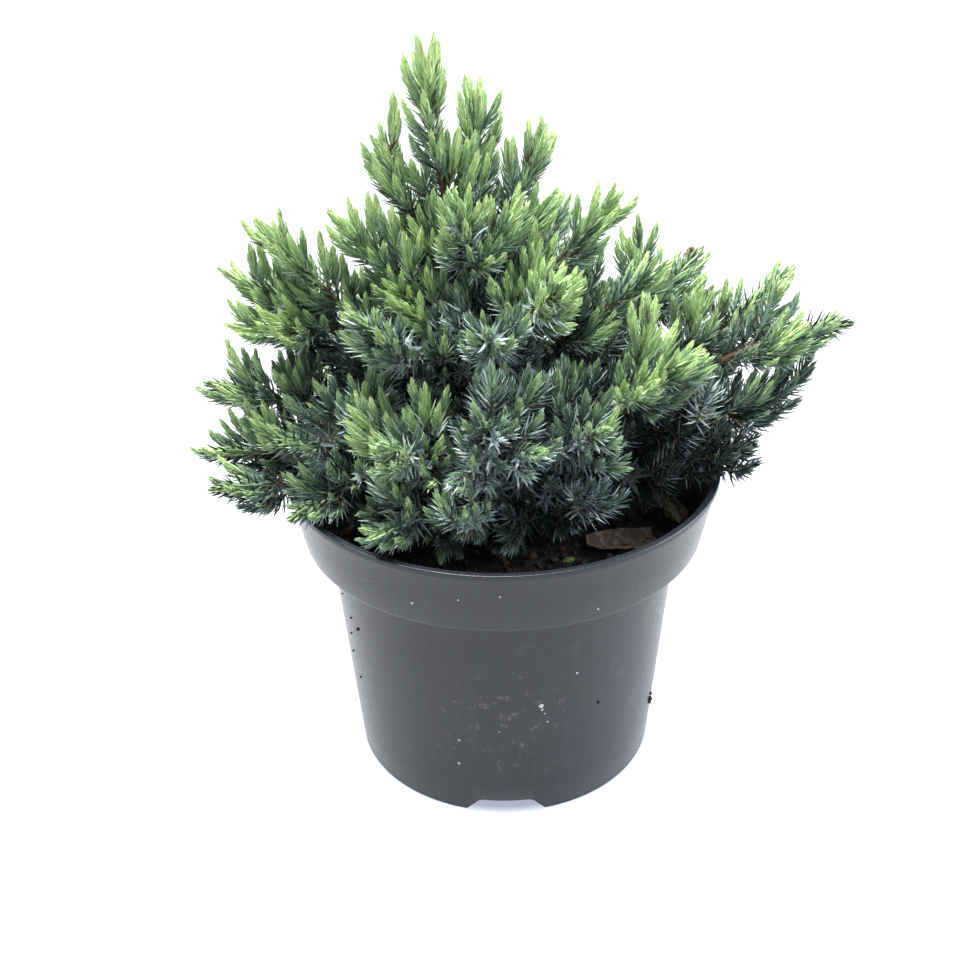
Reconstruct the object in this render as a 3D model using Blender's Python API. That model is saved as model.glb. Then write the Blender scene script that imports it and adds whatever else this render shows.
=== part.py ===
"""A dwarf blue juniper growing in its black moulded nursery pot, in metres, +Z up.

The origin is at the middle of the pot's underside. The pot is a turned wall with a stepped collar.
The plant is a short trunk, tapering boughs and plumes of needles. Each plume is one closed solid that
keeps to its own space: a stem, a small core and toothed shoots that branch from the stem by a seeded
rule.
"""

import math
from dataclasses import dataclass

import bmesh
import bpy
import numpy as np
from mathutils import Vector, noise

FULL_TURN = 2.0 * math.pi
UP = Vector((0.0, 0.0, 1.0))
SHARP_ANGLE = math.radians(35)

# Pot
RIM_RADIUS = 0.0650
POT_HEIGHT = 0.0980
COLLAR_HEIGHT = 0.0212
COLLAR_FOOT_RADIUS = 0.0604
BODY_TOP_RADIUS = 0.0533
FOOT_RADIUS = 0.0465
WALL = 0.0014
LIP_WIDTH = 0.0021
LIP_HEIGHT = 0.0018
LIP_EDGE = 0.0004
SHOULDER_ROUND = 0.0010
FOOT_RING_WIDTH = 0.0022
FLOOR_RISE = 0.0050
FLOOR_THICKNESS = 0.0014
PAD_RADIUS = 0.0100
POT_SIDES = 48

# Notches in the foot ring and drain holes in the floor
NOTCH_COUNT = 4
FIRST_NOTCH = math.radians(-90)
NOTCH_TOP_WIDTH = 0.0158
NOTCH_BOTTOM_WIDTH = 0.0244
NOTCH_HEIGHT = 0.0048
DRAIN_COUNT = 4
FIRST_DRAIN = math.radians(-45)
DRAIN_RADIUS = 0.0045
DRAIN_RING = 0.0290
DRAIN_SIDES = 10

# Soil and what lies on it
GAP = 0.0003
SOIL_LEVEL = 0.0830
SOIL_DISH = 0.0016
SOIL_BUMPS = 0.0011
SOIL_BUMP_SCALE = 95.0
SOIL_BUMP_SLICE = 0.3
SOIL_SIDES = 30
SOIL_RINGS = 5
SEAT_RADIUS = 0.0095
CHIP_THICKNESS = 0.0009
CHIP_LIFT = 0.0005
CHIP_NARROWS = 0.55
CHIP_END_CURL = 0.5
CHIP_GRID = (5, 3)

# Trunk and boughs
TRUNK_FOOT_RADIUS = 0.0042
TRUNK_FLARE = 0.0036
FLARE_HEIGHT = 0.0060
FLARE_FALL = 2.0
TRUNK_TOP_RADIUS = 0.0013
TRUNK_TOP = (-0.0130, 0.0030, 0.1660)
TRUNK_BEND = (0.0080, 0.0040, 0.1220)
TRUNK_SIDES = 8
TRUNK_RINGS = 9
RINGS_CROWD_FOOT = 1.5
BOUGH_ROOT_RADIUS = 0.0023
BOUGH_TIP_RADIUS = 0.0012
BOUGH_SIDES = 6
BOUGH_RINGS = 5
BOUGH_SAG = 0.10
LOWEST_BOUGH = 0.0890
BOUGH_RISE = 0.42
BOUGH_SHARE = 0.50
LIMB_TRIES = 25
ROOT_STEP = 0.0012
SHARE_STEP = 0.025
TRUNK_SPHERES = 40
LIMB_SPHERES = 14
ROOT_SPHERES = 2
FOOT_SPHERES = 3

# Plumes
STEM_ROOT_RADIUS = 0.0011
STEM_TIP_RADIUS = 0.0007
STEM_SAG = 0.09
STEM_SIDES = 5
STEM_SPHERES = 12
CORE_RADIUS = 0.0060
CORE_SWELL_END = 0.95
CORE_SWELL_POWER = 0.8
CORE_INTO_LEADER = 0.80
HEARTS = (1.0, 0.8, 0.6, 0.4)
HEART_STEP = 0.2
HIGHEST_SHARE = 0.97
CORE_STEPS = (0.0, 0.22, 0.50, 0.80, 1.0)
SHOOTS_EACH = 16
GOLDEN_ANGLE = math.radians(137.5)
SHOOT_LENGTH = 0.0280
LEADER_INTO_STEM = 0.95
LOWEST_SHOOT_LENGTH = 1.06
SHOOT_SHORTENS = 0.46
NARROW_LENGTH = 0.55
SHOOT_CORE = 0.0023
SHOOT_CORE_SWELL = (0.35, 0.50)
SHOOT_REACH = 0.0056
SHOOT_REACH_SWELL = (0.22, 0.72)
SHOOT_TIP_REACH = 0.12
SHOOT_BARE = 0.27
SHOOT_ROOT = 0.0011
SHOOT_SPHERES = 7
FIRST_SPHERE = 0.04
SHORTEST_EDGE = 0.000004
TOOTHED_RINGS = 2
LAST_RING = 0.86
TOOTH_LEAN = math.radians(38)
ROOT_ANGLE = math.radians(52)
TIP_ANGLE = math.radians(28)
FIRST_SHOOT = 0.20
LAST_SHOOT = 0.74
LIFT = 0.40
CLEARANCE = 0.0005
OWN_CROWDING = 0.80
TRIES = 10
TRY_TURN = 1.1
TRY_SHRINKS = 0.05
ANGLE_SPREAD = 0.3
SCALES = (0.88, 1.08)
SEED = 41


@dataclass(frozen=True)
class Finish:
    """The name, colour and roughness of one material."""

    name: str
    colour: tuple
    roughness: float


PLASTIC = Finish("black_plastic", (0.035, 0.037, 0.042), 0.45)
COMPOST = Finish("dark_compost", (0.016, 0.013, 0.011), 0.95)
LARGE_CHIP = Finish("bark_chip_large_bark", (0.16, 0.085, 0.045), 0.8)
SMALL_CHIP = Finish("bark_chip_small_bark", (0.16, 0.085, 0.045), 0.8)
BARK = Finish("bark", (0.13, 0.075, 0.045), 0.85)
NEEDLES = Finish("needles", (0.13, 0.24, 0.14), 0.6)


@dataclass(frozen=True)
class Chip:
    """A curled piece of bark: its place round the pot's axis, its size, its turn and its curl."""

    name: str
    azimuth: float
    reach: float
    length: float
    width: float
    turn: float
    curl: float
    finish: Finish


CHIPS = (
    Chip("bark_chip_large", 323, 0.0425, 0.0200, 0.0110, 12, 0.0018, LARGE_CHIP),
    Chip("bark_chip_small", 352, 0.0520, 0.0110, 0.0070, 100, 0.0012, SMALL_CHIP),
)


@dataclass(frozen=True)
class Plume:
    """Where one plume's tip is, round the pot's axis, what carries it, and how it spreads and sags."""

    name: str
    azimuth: float
    reach: float
    height: float
    carrier: str = "own"
    share: float = BOUGH_SHARE
    spread: float = 1.0
    sag: float = STEM_SAG


PLUMES = (
    Plume("spire", 169, 0.0215, 0.2215, "trunk", 1.0, spread=0.5),
    Plume("skirt_left", 189, 0.089, 0.109, spread=0.8),
    Plume("skirt_left_front", 200, 0.088, 0.105, "skirt_left", 0.72),
    Plume("low_left", 184, 0.086, 0.127, share=0.46, spread=0.75),
    Plume("rim_left", 219, 0.075, 0.105, "low_left", 0.60),
    Plume("left_front", 212, 0.074, 0.124, "low_left", 0.66),
    Plume("arm_left", 177, 0.080, 0.158),
    Plume("arm_left_top", 180, 0.067, 0.174, "arm_left", 0.80, spread=0.8),
    Plume("shoulder_left", 184, 0.047, 0.177, "trunk", 0.66, spread=1.1),
    Plume("crown_left", 171, 0.035, 0.195, "trunk", 0.80, spread=0.75),
    Plume("crown_back", 108, 0.016, 0.208, "trunk", 0.94, spread=0.6),
    Plume("crown_back_right", 60, 0.0275, 0.1925, "trunk", 0.84, spread=0.7),
    Plume("crown_right", 5, 0.0345, 0.1795, "trunk", 0.74, spread=0.8),
    Plume("crown_front", 246, 0.025, 0.186, "trunk", 0.88),
    Plume("shoulder_right", 10, 0.051, 0.157, "trunk", 0.55, spread=0.85),
    Plume("back_right_up", 34, 0.076, 0.148),
    Plume("arm_right", 3, 0.1025, 0.138, share=0.54, spread=0.6, sag=-0.12),
    Plume("right_up", 14, 0.090, 0.150, "arm_right", 0.70),
    Plume("skirt_right_up", 359, 0.084, 0.119, share=0.44, spread=0.7),
    Plume("skirt_right", 345, 0.0745, 0.110, "skirt_right_up", 0.60, spread=0.85),
    Plume("right_low", 337, 0.062, 0.121, "skirt_right_up", 0.50),
    Plume("right_front", 329, 0.063, 0.147, share=0.42),
    Plume("soil_right", 326, 0.053, 0.101, "right_front", 0.50),
    Plume("front_right", 299, 0.058, 0.134, share=0.42),
    Plume("soil_front", 297, 0.048, 0.101, "front_right", 0.50),
    Plume("front_heart", 280, 0.044, 0.121, "front_right", 0.34, spread=1.25),
    Plume("front", 266, 0.061, 0.141, share=0.42),
    Plume("skirt_front", 258, 0.055, 0.103, "front", 0.50),
    Plume("front_left", 241, 0.066, 0.134, share=0.42),
    Plume("skirt_front_left", 240, 0.070, 0.107, "front_left", 0.50),
    Plume("front_left_up", 222, 0.054, 0.161, "trunk", 0.50),
    Plume("front_up", 266, 0.049, 0.161, "trunk", 0.60),
    Plume("front_right_up", 292, 0.045, 0.171, "trunk", 0.70),
    Plume("skirt_back_right", 52, 0.070, 0.107, "back_right_up", 0.55, spread=1.25),
    Plume("back_right", 58, 0.060, 0.134, "back_right_up", 0.72, spread=1.25),
    Plume("back", 88, 0.062, 0.140, share=0.42, spread=1.25),
    Plume("skirt_back", 92, 0.066, 0.105, "back", 0.52, spread=1.25),
    Plume("back_left", 133, 0.066, 0.138, share=0.42, spread=1.25),
    Plume("skirt_back_left", 142, 0.074, 0.108, "back_left", 0.56, spread=1.25),
    Plume("back_left_up", 128, 0.045, 0.169, "trunk", 0.58, spread=1.2),
    Plume("back_right_shoulder", 66, 0.048, 0.166, "trunk", 0.64, spread=1.2),
    Plume("flank_left", 168, 0.060, 0.134, "arm_left", 0.45),
    Plume("flank_right", 12, 0.076, 0.126, "arm_right", 0.45),
)


def material(finish):
    """Return the Principled material of a finish."""
    made = bpy.data.materials.new(finish.name)
    made.use_nodes = True
    shader = made.node_tree.nodes["Principled BSDF"]
    shader.inputs["Base Color"].default_value = (*finish.colour, 1.0)
    shader.inputs["Roughness"].default_value = finish.roughness
    return made


def solid(bm, name, its_material, smooth=True):
    """Turn a bmesh into a named object with its faces outward."""
    bmesh.ops.recalc_face_normals(bm, faces=bm.faces)
    mesh = bpy.data.meshes.new(name)
    bm.to_mesh(mesh)
    bm.free()
    if smooth:
        mesh.shade_smooth()
        mesh.set_sharp_from_angle(angle=SHARP_ANGLE)
    made = bpy.data.objects.new(name, mesh)
    made.data.materials.append(its_material)
    bpy.context.scene.collection.objects.link(made)
    return made


def turned(profile, sides):
    """Return a bmesh of a closed profile, given as radius and height, turned about the Z axis."""
    bm = bmesh.new()
    rings = []
    for radius, height in profile:
        if radius == 0.0:
            rings.append([bm.verts.new((0.0, 0.0, height))])
            continue
        rings.append([bm.verts.new((radius * math.cos(a), radius * math.sin(a), height))
                      for a in turns(0.0, sides)])
    for lower, upper in zip(rings, rings[1:] + rings[:1]):
        if len(lower) == 1 and len(upper) == 1:
            continue
        for k in range(sides):
            nxt = (k + 1) % sides
            if len(lower) == 1:
                bm.faces.new((lower[0], upper[nxt], upper[k]))
            elif len(upper) == 1:
                bm.faces.new((lower[k], lower[nxt], upper[0]))
            else:
                bm.faces.new((lower[k], lower[nxt], upper[nxt], upper[k]))
    return bm


def body_radius(height):
    """Return the outer radius of the pot's body at a height."""
    body_height = POT_HEIGHT - COLLAR_HEIGHT
    return FOOT_RADIUS + (BODY_TOP_RADIUS - FOOT_RADIUS) * height / body_height


def pot_profile():
    """Return the pot's wall in section, from the middle of the pad outward, up, and back down inside."""
    ledge = POT_HEIGHT - COLLAR_HEIGHT
    floor_top = FLOOR_RISE + FLOOR_THICKNESS
    foot_inner = FOOT_RADIUS - FOOT_RING_WIDTH
    collar_slope = (RIM_RADIUS - LIP_WIDTH + WALL - COLLAR_FOOT_RADIUS) / (COLLAR_HEIGHT - LIP_HEIGHT)
    collar_top = COLLAR_FOOT_RADIUS + collar_slope * (COLLAR_HEIGHT - LIP_HEIGHT)
    return (
        (0.0, 0.0),
        (PAD_RADIUS, 0.0),
        (PAD_RADIUS + LIP_EDGE, FLOOR_RISE),
        (foot_inner, FLOOR_RISE),
        (foot_inner, 0.0),
        (FOOT_RADIUS - LIP_EDGE, 0.0),
        (FOOT_RADIUS, LIP_EDGE),
        (body_radius(ledge), ledge),
        (COLLAR_FOOT_RADIUS - SHOULDER_ROUND, ledge),
        (COLLAR_FOOT_RADIUS, ledge + SHOULDER_ROUND),
        (collar_top, POT_HEIGHT - LIP_HEIGHT),
        (RIM_RADIUS, POT_HEIGHT - LIP_HEIGHT + LIP_EDGE),
        (RIM_RADIUS, POT_HEIGHT - LIP_EDGE),
        (RIM_RADIUS - LIP_EDGE, POT_HEIGHT),
        (RIM_RADIUS - LIP_WIDTH, POT_HEIGHT),
        (COLLAR_FOOT_RADIUS - WALL, ledge + WALL),
        (body_radius(ledge) - WALL, ledge + WALL),
        (body_radius(floor_top) - WALL, floor_top),
        (0.0, floor_top),
    )


def prism(points, low, high):
    """Return a bmesh of a closed outline, given as Y and Z, run along X from low to high."""
    bm = bmesh.new()
    near = [bm.verts.new((low, y, z)) for y, z in points]
    far = [bm.verts.new((high, y, z)) for y, z in points]
    bm.faces.new(near)
    bm.faces.new(far)
    for k in range(len(points)):
        nxt = (k + 1) % len(points)
        bm.faces.new((near[k], near[nxt], far[nxt], far[k]))
    return bm


def cut(target, cutters):
    """Take the cutters away from the target, for good."""
    group = bpy.data.collections.new(target.name + "_cutters")
    bpy.context.scene.collection.children.link(group)
    for cutter in cutters:
        bpy.context.scene.collection.objects.unlink(cutter)
        group.objects.link(cutter)
    apply_boolean(target, group, "DIFFERENCE", "EXACT")


def apply_boolean(target, group, operation, solver):
    """Apply one Boolean with a whole collection, then remove the collection's objects."""
    step = target.modifiers.new("fuse", "BOOLEAN")
    step.operation = operation
    step.operand_type = "COLLECTION"
    step.collection = group
    step.solver = solver
    bpy.context.view_layer.update()
    evaluated = target.evaluated_get(bpy.context.evaluated_depsgraph_get())
    mesh = bpy.data.meshes.new_from_object(evaluated)
    target.modifiers.clear()
    target.data = mesh
    for used in list(group.objects):
        bpy.data.objects.remove(used)
    bpy.data.collections.remove(group)


def make_pot():
    """Make the pot, with its notched foot ring and its drain holes."""
    black_plastic = material(PLASTIC)
    pot = solid(turned(pot_profile(), POT_SIDES), "pot", black_plastic)
    cutters = [notch_cutter(turn, black_plastic) for turn in turns(FIRST_NOTCH, NOTCH_COUNT)]
    cutters += [drain_cutter(turn, black_plastic) for turn in turns(FIRST_DRAIN, DRAIN_COUNT)]
    cut(pot, cutters)


def turns(first, count):
    """Return angles spaced evenly round a full turn."""
    return [first + FULL_TURN * k / count for k in range(count)]


def notch_cutter(turn, its_material):
    """Return the solid that cuts one notch out of the foot ring, run on a little below it."""
    top, bottom = NOTCH_TOP_WIDTH / 2, NOTCH_BOTTOM_WIDTH / 2
    lowest = bottom + LIP_EDGE * (bottom - top) / NOTCH_HEIGHT
    outline = ((-lowest, -LIP_EDGE), (lowest, -LIP_EDGE), (top, NOTCH_HEIGHT), (-top, NOTCH_HEIGHT))
    block = prism(outline, FOOT_RADIUS - 4 * FOOT_RING_WIDTH, FOOT_RADIUS + FOOT_RING_WIDTH)
    cutter = solid(block, "notch_cutter", its_material, smooth=False)
    cutter.rotation_euler.z = turn
    return cutter


def drain_cutter(turn, its_material):
    """Return the solid that cuts one drain hole out of the floor."""
    bm = bmesh.new()
    bmesh.ops.create_cone(bm, cap_ends=True, segments=DRAIN_SIDES, radius1=DRAIN_RADIUS,
                          radius2=DRAIN_RADIUS, depth=4 * FLOOR_THICKNESS)
    cutter = solid(bm, "drain_cutter", its_material, smooth=False)
    middle = FLOOR_RISE + FLOOR_THICKNESS / 2
    cutter.location = (DRAIN_RING * math.cos(turn), DRAIN_RING * math.sin(turn), middle)
    return cutter


def soil_height(x, y):
    """Return the height of the soil's uneven top, with a flat seat round the trunk."""
    radius = math.hypot(x, y)
    dish = SOIL_DISH * (radius / COLLAR_FOOT_RADIUS) ** 2
    place = Vector((x * SOIL_BUMP_SCALE, y * SOIL_BUMP_SCALE, SOIL_BUMP_SLICE))
    bump = SOIL_BUMPS * noise.noise(place)
    free = min(1.0, max(0.0, radius / SEAT_RADIUS - 1.0))
    return SOIL_LEVEL + free * (bump - dish)


def make_soil():
    """Make the soil that fills the pot up to just over the shoulder, clear of the wall all round."""
    ledge = POT_HEIGHT - COLLAR_HEIGHT + WALL
    floor_top = FLOOR_RISE + FLOOR_THICKNESS
    wall_slope = (RIM_RADIUS - LIP_WIDTH - COLLAR_FOOT_RADIUS + WALL) / (COLLAR_HEIGHT - WALL)
    top_radius = COLLAR_FOOT_RADIUS - WALL + wall_slope * (SOIL_LEVEL - ledge) - 2 * GAP
    profile = [
        (0.0, floor_top + GAP),
        (body_radius(floor_top) - WALL - 2 * GAP, floor_top + GAP),
        (body_radius(ledge) - WALL - 2 * GAP, ledge - GAP),
        (body_radius(ledge) - WALL - 2 * GAP, ledge + GAP),
        (COLLAR_FOOT_RADIUS - WALL - 2 * GAP, ledge + GAP),
    ]
    for k in range(SOIL_RINGS):
        profile.append((top_radius + (SEAT_RADIUS - top_radius) * k / (SOIL_RINGS - 1), SOIL_LEVEL))
    profile.append((0.0, SOIL_LEVEL))
    bm = turned(profile, SOIL_SIDES)
    for vert in bm.verts:
        if vert.co.z > ledge + 2 * GAP:
            vert.co.z = soil_height(vert.co.x, vert.co.y)
    solid(bm, "soil", material(COMPOST))


def make_chip(chip):
    """Make a dry curled piece of bark that lies on the soil."""
    bm = bmesh.new()
    bmesh.ops.create_grid(bm, x_segments=CHIP_GRID[0], y_segments=CHIP_GRID[1], size=0.5)
    raised = bmesh.ops.extrude_face_region(bm, geom=list(bm.faces))
    upper = {item for item in raised["geom"] if isinstance(item, bmesh.types.BMVert)}
    azimuth, turn = math.radians(chip.azimuth), math.radians(chip.turn)
    centre = Vector((chip.reach * math.cos(azimuth), chip.reach * math.sin(azimuth), 0.0))
    along = Vector((math.cos(turn), math.sin(turn), 0.0))
    across = Vector((-math.sin(turn), math.cos(turn), 0.0))
    for vert in bm.verts:
        u, v = vert.co.x, vert.co.y
        narrow = 1.0 - CHIP_NARROWS * (2 * u) ** 2
        spot = centre + along * (u * chip.length) + across * (v * chip.width * narrow)
        rise = chip.curl * ((2 * v) ** 2 + CHIP_END_CURL * (2 * u) ** 2)
        height = soil_height(spot.x, spot.y) + CHIP_LIFT + rise
        vert.co = (spot.x, spot.y, height + (CHIP_THICKNESS if vert in upper else 0.0))
    solid(bm, chip.name, material(chip.finish))


class Limb:
    """A tapering round limb on a quadratic curve, which may go on from its carrier's end."""

    goes_on = False

    def __init__(self, start, bend, end, root_radius, tip_radius):
        """Keep the curve and the radii at both ends."""
        self.start, self.bend, self.end = Vector(start), Vector(bend), Vector(end)
        self.root_radius, self.tip_radius = root_radius, tip_radius

    def at(self, t):
        """Return the point at t."""
        return self.start * (1 - t) ** 2 + self.bend * (2 * t * (1 - t)) + self.end * t ** 2

    def along(self, t):
        """Return the direction at t."""
        return ((self.bend - self.start) * (1 - t) + (self.end - self.bend) * t).normalized()

    def radius(self, t):
        """Return the radius at t."""
        return self.root_radius + (self.tip_radius - self.root_radius) * t

    def length(self):
        """Return the distance from root to tip."""
        return (self.end - self.start).length

    def spheres(self, count=LIMB_SPHERES):
        """Return spheres that follow the limb, as rows of x, y, z and radius."""
        return np.array([(*self.at(k / count), self.radius(k / count)) for k in range(count + 1)])


class Trunk(Limb):
    """The trunk, which widens into a root flare where it leaves the soil."""

    def radius(self, t):
        """Return the radius at t, with the flare near the foot."""
        rise = (self.at(t).z - self.start.z) / FLARE_HEIGHT
        return super().radius(t) + TRUNK_FLARE * math.exp(-FLARE_FALL * rise)


class Stem(Limb):
    """The stem of a plume, which swells into a small dense heart and ends in its leading shoot."""

    fullness = 1.0

    def heart_end(self):
        """Return where the heart ends, a little way into the leading shoot."""
        return 1.0 - CORE_INTO_LEADER * SHOOT_LENGTH / self.length()

    def heart_radius(self, share):
        """Return the radius at a share of the way to the heart's end."""
        swells = share < CORE_SWELL_END
        swell = math.sin(math.pi * share / CORE_SWELL_END) ** CORE_SWELL_POWER if swells else 0.0
        plain = STEM_ROOT_RADIUS + (STEM_TIP_RADIUS - STEM_ROOT_RADIUS) * share
        return max(plain, CORE_RADIUS * self.fullness * swell)

    def spheres(self, count=STEM_SPHERES):
        """Return spheres that hold the stem, its heart and its leading shoot."""
        shares = [k / count for k in range(count + 1)]
        heart = np.array([(*self.at(self.heart_end() * s), self.heart_radius(s)) for s in shares])
        return np.vstack((heart, shoot_spheres(leader_of(self), 1.0)))


def side_axes(direction):
    """Return two directions square to a direction and to each other."""
    across = direction.cross(UP)
    if across.length < 1e-3:
        across = direction.cross(Vector((1.0, 0.0, 0.0)))
    across.normalize()
    return across, across.cross(direction).normalized()


def ring(bm, centre, axes, radius, angles):
    """Add a ring of corners round a centre, in the plane of two axes, and return them."""
    across, upward = axes
    return [bm.verts.new(centre + (across * math.cos(a) + upward * math.sin(a)) * radius) for a in angles]


def tube(limb, sides, rings, level_foot=False):
    """Return a bmesh of a limb with flat ends, the first of them level where it is a cut foot."""
    bm = bmesh.new()
    loops = []
    for k in range(rings):
        t = (k / (rings - 1)) ** (RINGS_CROWD_FOOT if level_foot else 1.0)
        centre = limb.at(t)
        axes = side_axes(UP if level_foot and k == 0 else limb.along(t))
        loops.append(ring(bm, centre, axes, limb.radius(t), turns(0.0, sides)))
    bm.faces.new(loops[0])
    bm.faces.new(loops[-1])
    for lower, upper in zip(loops, loops[1:]):
        for j in range(sides):
            nxt = (j + 1) % sides
            bm.faces.new((lower[j], lower[nxt], upper[nxt], upper[j]))
    return bm


def start_on(carrier, t, target, radius):
    """Return where a limb that grows from a carrier's side toward a target starts, just clear of it."""
    centre, along = carrier.at(t), carrier.along(t)
    heading = (target - centre).normalized()
    if t >= 1.0:
        return centre + heading * (GAP + max(carrier.radius(t), radius) * heading.cross(along).length)
    outward = (heading - along * heading.dot(along)).normalized()
    lean = abs(heading.dot(along))
    return centre + outward * (carrier.radius(t) + GAP + radius * lean)


def tip_of(plume):
    """Return a plume's tip."""
    angle = math.radians(plume.azimuth)
    return Vector((plume.reach * math.cos(angle), plume.reach * math.sin(angle), plume.height))


def trunk_fraction(height):
    """Return how far up the trunk's curve a height is."""
    foot = SOIL_LEVEL + GAP
    return min(1.0, max(0.0, (height - foot) / (TRUNK_TOP[2] - foot)))


def first_clear(candidates, limbs, carrier_name):
    """Return the first limb that touches no other limb, or the last one where none is clear."""
    for limb in candidates:
        spheres = limb.spheres()
        others = [taken for name, taken in limbs.items() if name != carrier_name]
        leaves_carrier = limb.goes_on or clear_of(spheres[ROOT_SPHERES:], limbs[carrier_name])
        in_air = over_soil_and_rim(spheres[FOOT_SPHERES:])
        if leaves_carrier and in_air and all(clear_of(spheres, taken) for taken in others):
            return limb
    return limb


def side_steps(count, size):
    """Return small steps to either side of zero, nearest first."""
    return [size * ((k + 1) // 2) * (-1) ** k for k in range(count)]


def bough_from(trunk, plume, root_height):
    """Return the bough of a plume that leaves the trunk at a height."""
    tip = tip_of(plume)
    start = start_on(trunk, trunk_fraction(root_height), tip, BOUGH_ROOT_RADIUS)
    end = start.lerp(tip, plume.share)
    lift = UP * (BOUGH_SAG * (end - start).length)
    return Limb(start, start.lerp(end + lift, 0.5) + lift, end + lift, BOUGH_ROOT_RADIUS, BOUGH_TIP_RADIUS)


def stem_from(carrier, plume, share, fullness):
    """Return the stem of a plume that leaves its carrier at a share of the carrier's length."""
    share = min(share, 1.0 if plume.share == 1.0 or plume.carrier == "own" else HIGHEST_SHARE)
    tip = tip_of(plume)
    start = start_on(carrier, share, tip, STEM_ROOT_RADIUS)
    bend = start.lerp(tip, 0.5) - UP * (plume.sag * (tip - start).length)
    stem = Stem(start, bend, tip, STEM_ROOT_RADIUS, STEM_TIP_RADIUS)
    stem.fullness = fullness
    stem.goes_on = share == 1.0
    return stem


def stem_choices(carrier, plume):
    """Return the stems that a plume may have, the fullest and the nearest to its place first."""
    if plume.carrier == "own" or plume.share == 1.0:
        return [stem_from(carrier, plume, 1.0, fullness) for fullness in HEARTS]
    steps = side_steps(LIMB_TRIES, SHARE_STEP)
    choices = [(abs(step) / SHARE_STEP + (1.0 - fullness) / HEART_STEP, step, fullness)
               for step in steps for fullness in HEARTS]
    return [stem_from(carrier, plume, plume.share + step, fullness) for _, step, fullness in sorted(choices)]


def grow_limbs():
    """Return the trunk, the boughs and the plumes' stems, each by name, and the spheres they fill."""
    foot = Vector((0.0, 0.0, SOIL_LEVEL + GAP))
    trunk = Trunk(foot, TRUNK_BEND, TRUNK_TOP, TRUNK_FOOT_RADIUS, TRUNK_TOP_RADIUS)
    limbs = {"trunk": trunk.spheres(TRUNK_SPHERES)}
    boughs, stems = {}, {}
    for plume in PLUMES:
        if plume.carrier == "own":
            height = LOWEST_BOUGH + BOUGH_RISE * max(0.0, plume.height - LOWEST_BOUGH) * plume.share
            tries = [bough_from(trunk, plume, height + step) for step in side_steps(LIMB_TRIES, ROOT_STEP)]
            boughs[plume.name] = first_clear(tries, limbs, "trunk")
            limbs["bough_" + plume.name] = boughs[plume.name].spheres()
    for plume in PLUMES:
        if plume.carrier == "trunk":
            carrier_name, carrier = "trunk", trunk
        else:
            bearer = plume.name if plume.carrier == "own" else plume.carrier
            carrier_name, carrier = "bough_" + bearer, boughs[bearer]
        tries = stem_choices(carrier, plume)
        stems[plume.name] = first_clear(tries, limbs, carrier_name)
        limbs[plume.name] = stems[plume.name].spheres()
    return trunk, boughs, stems, limbs


def shoot_reach(t):
    """Return how far the teeth of a shoot of full size stand from its axis at t."""
    if t < SHOOT_BARE:
        return SHOOT_ROOT
    rest = (t - SHOOT_BARE) / (1.0 - SHOOT_BARE)
    start, span = SHOOT_REACH_SWELL
    return SHOOT_REACH * max(SHOOT_TIP_REACH, math.sin(math.pi * (start + span * rest)))


def shoot_spheres(shoot, scale):
    """Return spheres that hold a shoot and its teeth."""
    steps = np.linspace(SHOOT_BARE + FIRST_SPHERE, 1.0, SHOOT_SPHERES)
    return np.array([(*shoot.at(t), shoot_reach(t) * scale) for t in steps])


def over_soil_and_rim(spheres):
    """Say whether spheres keep clear of the pot and the soil."""
    radial = np.hypot(spheres[:, 0], spheres[:, 1])
    height, radius = spheres[:, 2], spheres[:, 3] + CLEARANCE
    over_rim = height - radius > POT_HEIGHT
    inside = radial + radius < COLLAR_FOOT_RADIUS - WALL
    outside = radial - radius > RIM_RADIUS
    in_air = height - radius > SOIL_LEVEL + SOIL_BUMPS
    return bool(np.all(over_rim | (inside & in_air) | outside))


def clear_of(spheres, taken, share=1.0):
    """Say whether spheres keep clear of others, or overlap them no more than a share allows."""
    apart = np.linalg.norm(spheres[:, None, :3] - taken[None, :, :3], axis=2)
    return bool(np.all(apart > share * (spheres[:, None, 3] + taken[None, :, 3] + CLEARANCE)))


def fits(spheres, limbs, grown, owner):
    """Say whether a shoot has room among the limbs and the shoots that are there."""
    if not over_soil_and_rim(spheres):
        return False
    for name, taken in limbs.items():
        if name != owner and not clear_of(spheres, taken):
            return False
    for name, taken in grown.items():
        if len(taken) and not clear_of(spheres, taken, OWN_CROWDING if name == owner else 1.0):
            return False
    return True


def leader_of(stem):
    """Return the shoot at the end of a stem."""
    start = stem.at(1.0 - LEADER_INTO_STEM * SHOOT_LENGTH / stem.length())
    return Limb(start, start.lerp(stem.end, 0.5), stem.end, 0.0, 0.0)


def lateral(stem, spread, share, angle, scale):
    """Return the shoot that leaves a stem at a share of its length, at an angle round it.

    A plume with a small spread holds its shoots closer to its stem and has shorter ones.
    """
    t = FIRST_SHOOT + (LAST_SHOOT - FIRST_SHOOT) * share
    along = stem.along(t)
    across, upward = side_axes(along)
    open_angle = spread * (ROOT_ANGLE + (TIP_ANGLE - ROOT_ANGLE) * share)
    sideways = across * math.cos(angle) + upward * math.sin(angle)
    heading = along * math.cos(open_angle) + sideways * math.sin(open_angle)
    fullness = NARROW_LENGTH + (1.0 - NARROW_LENGTH) * spread
    length = SHOOT_LENGTH * scale * fullness * (LOWEST_SHOOT_LENGTH - SHOOT_SHORTENS * share)
    start = stem.at(t)
    bend = start + heading * (0.5 * length)
    end = start + (heading + UP * LIFT).normalized() * length
    return Limb(start, bend, end, 0.0, 0.0)


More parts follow.
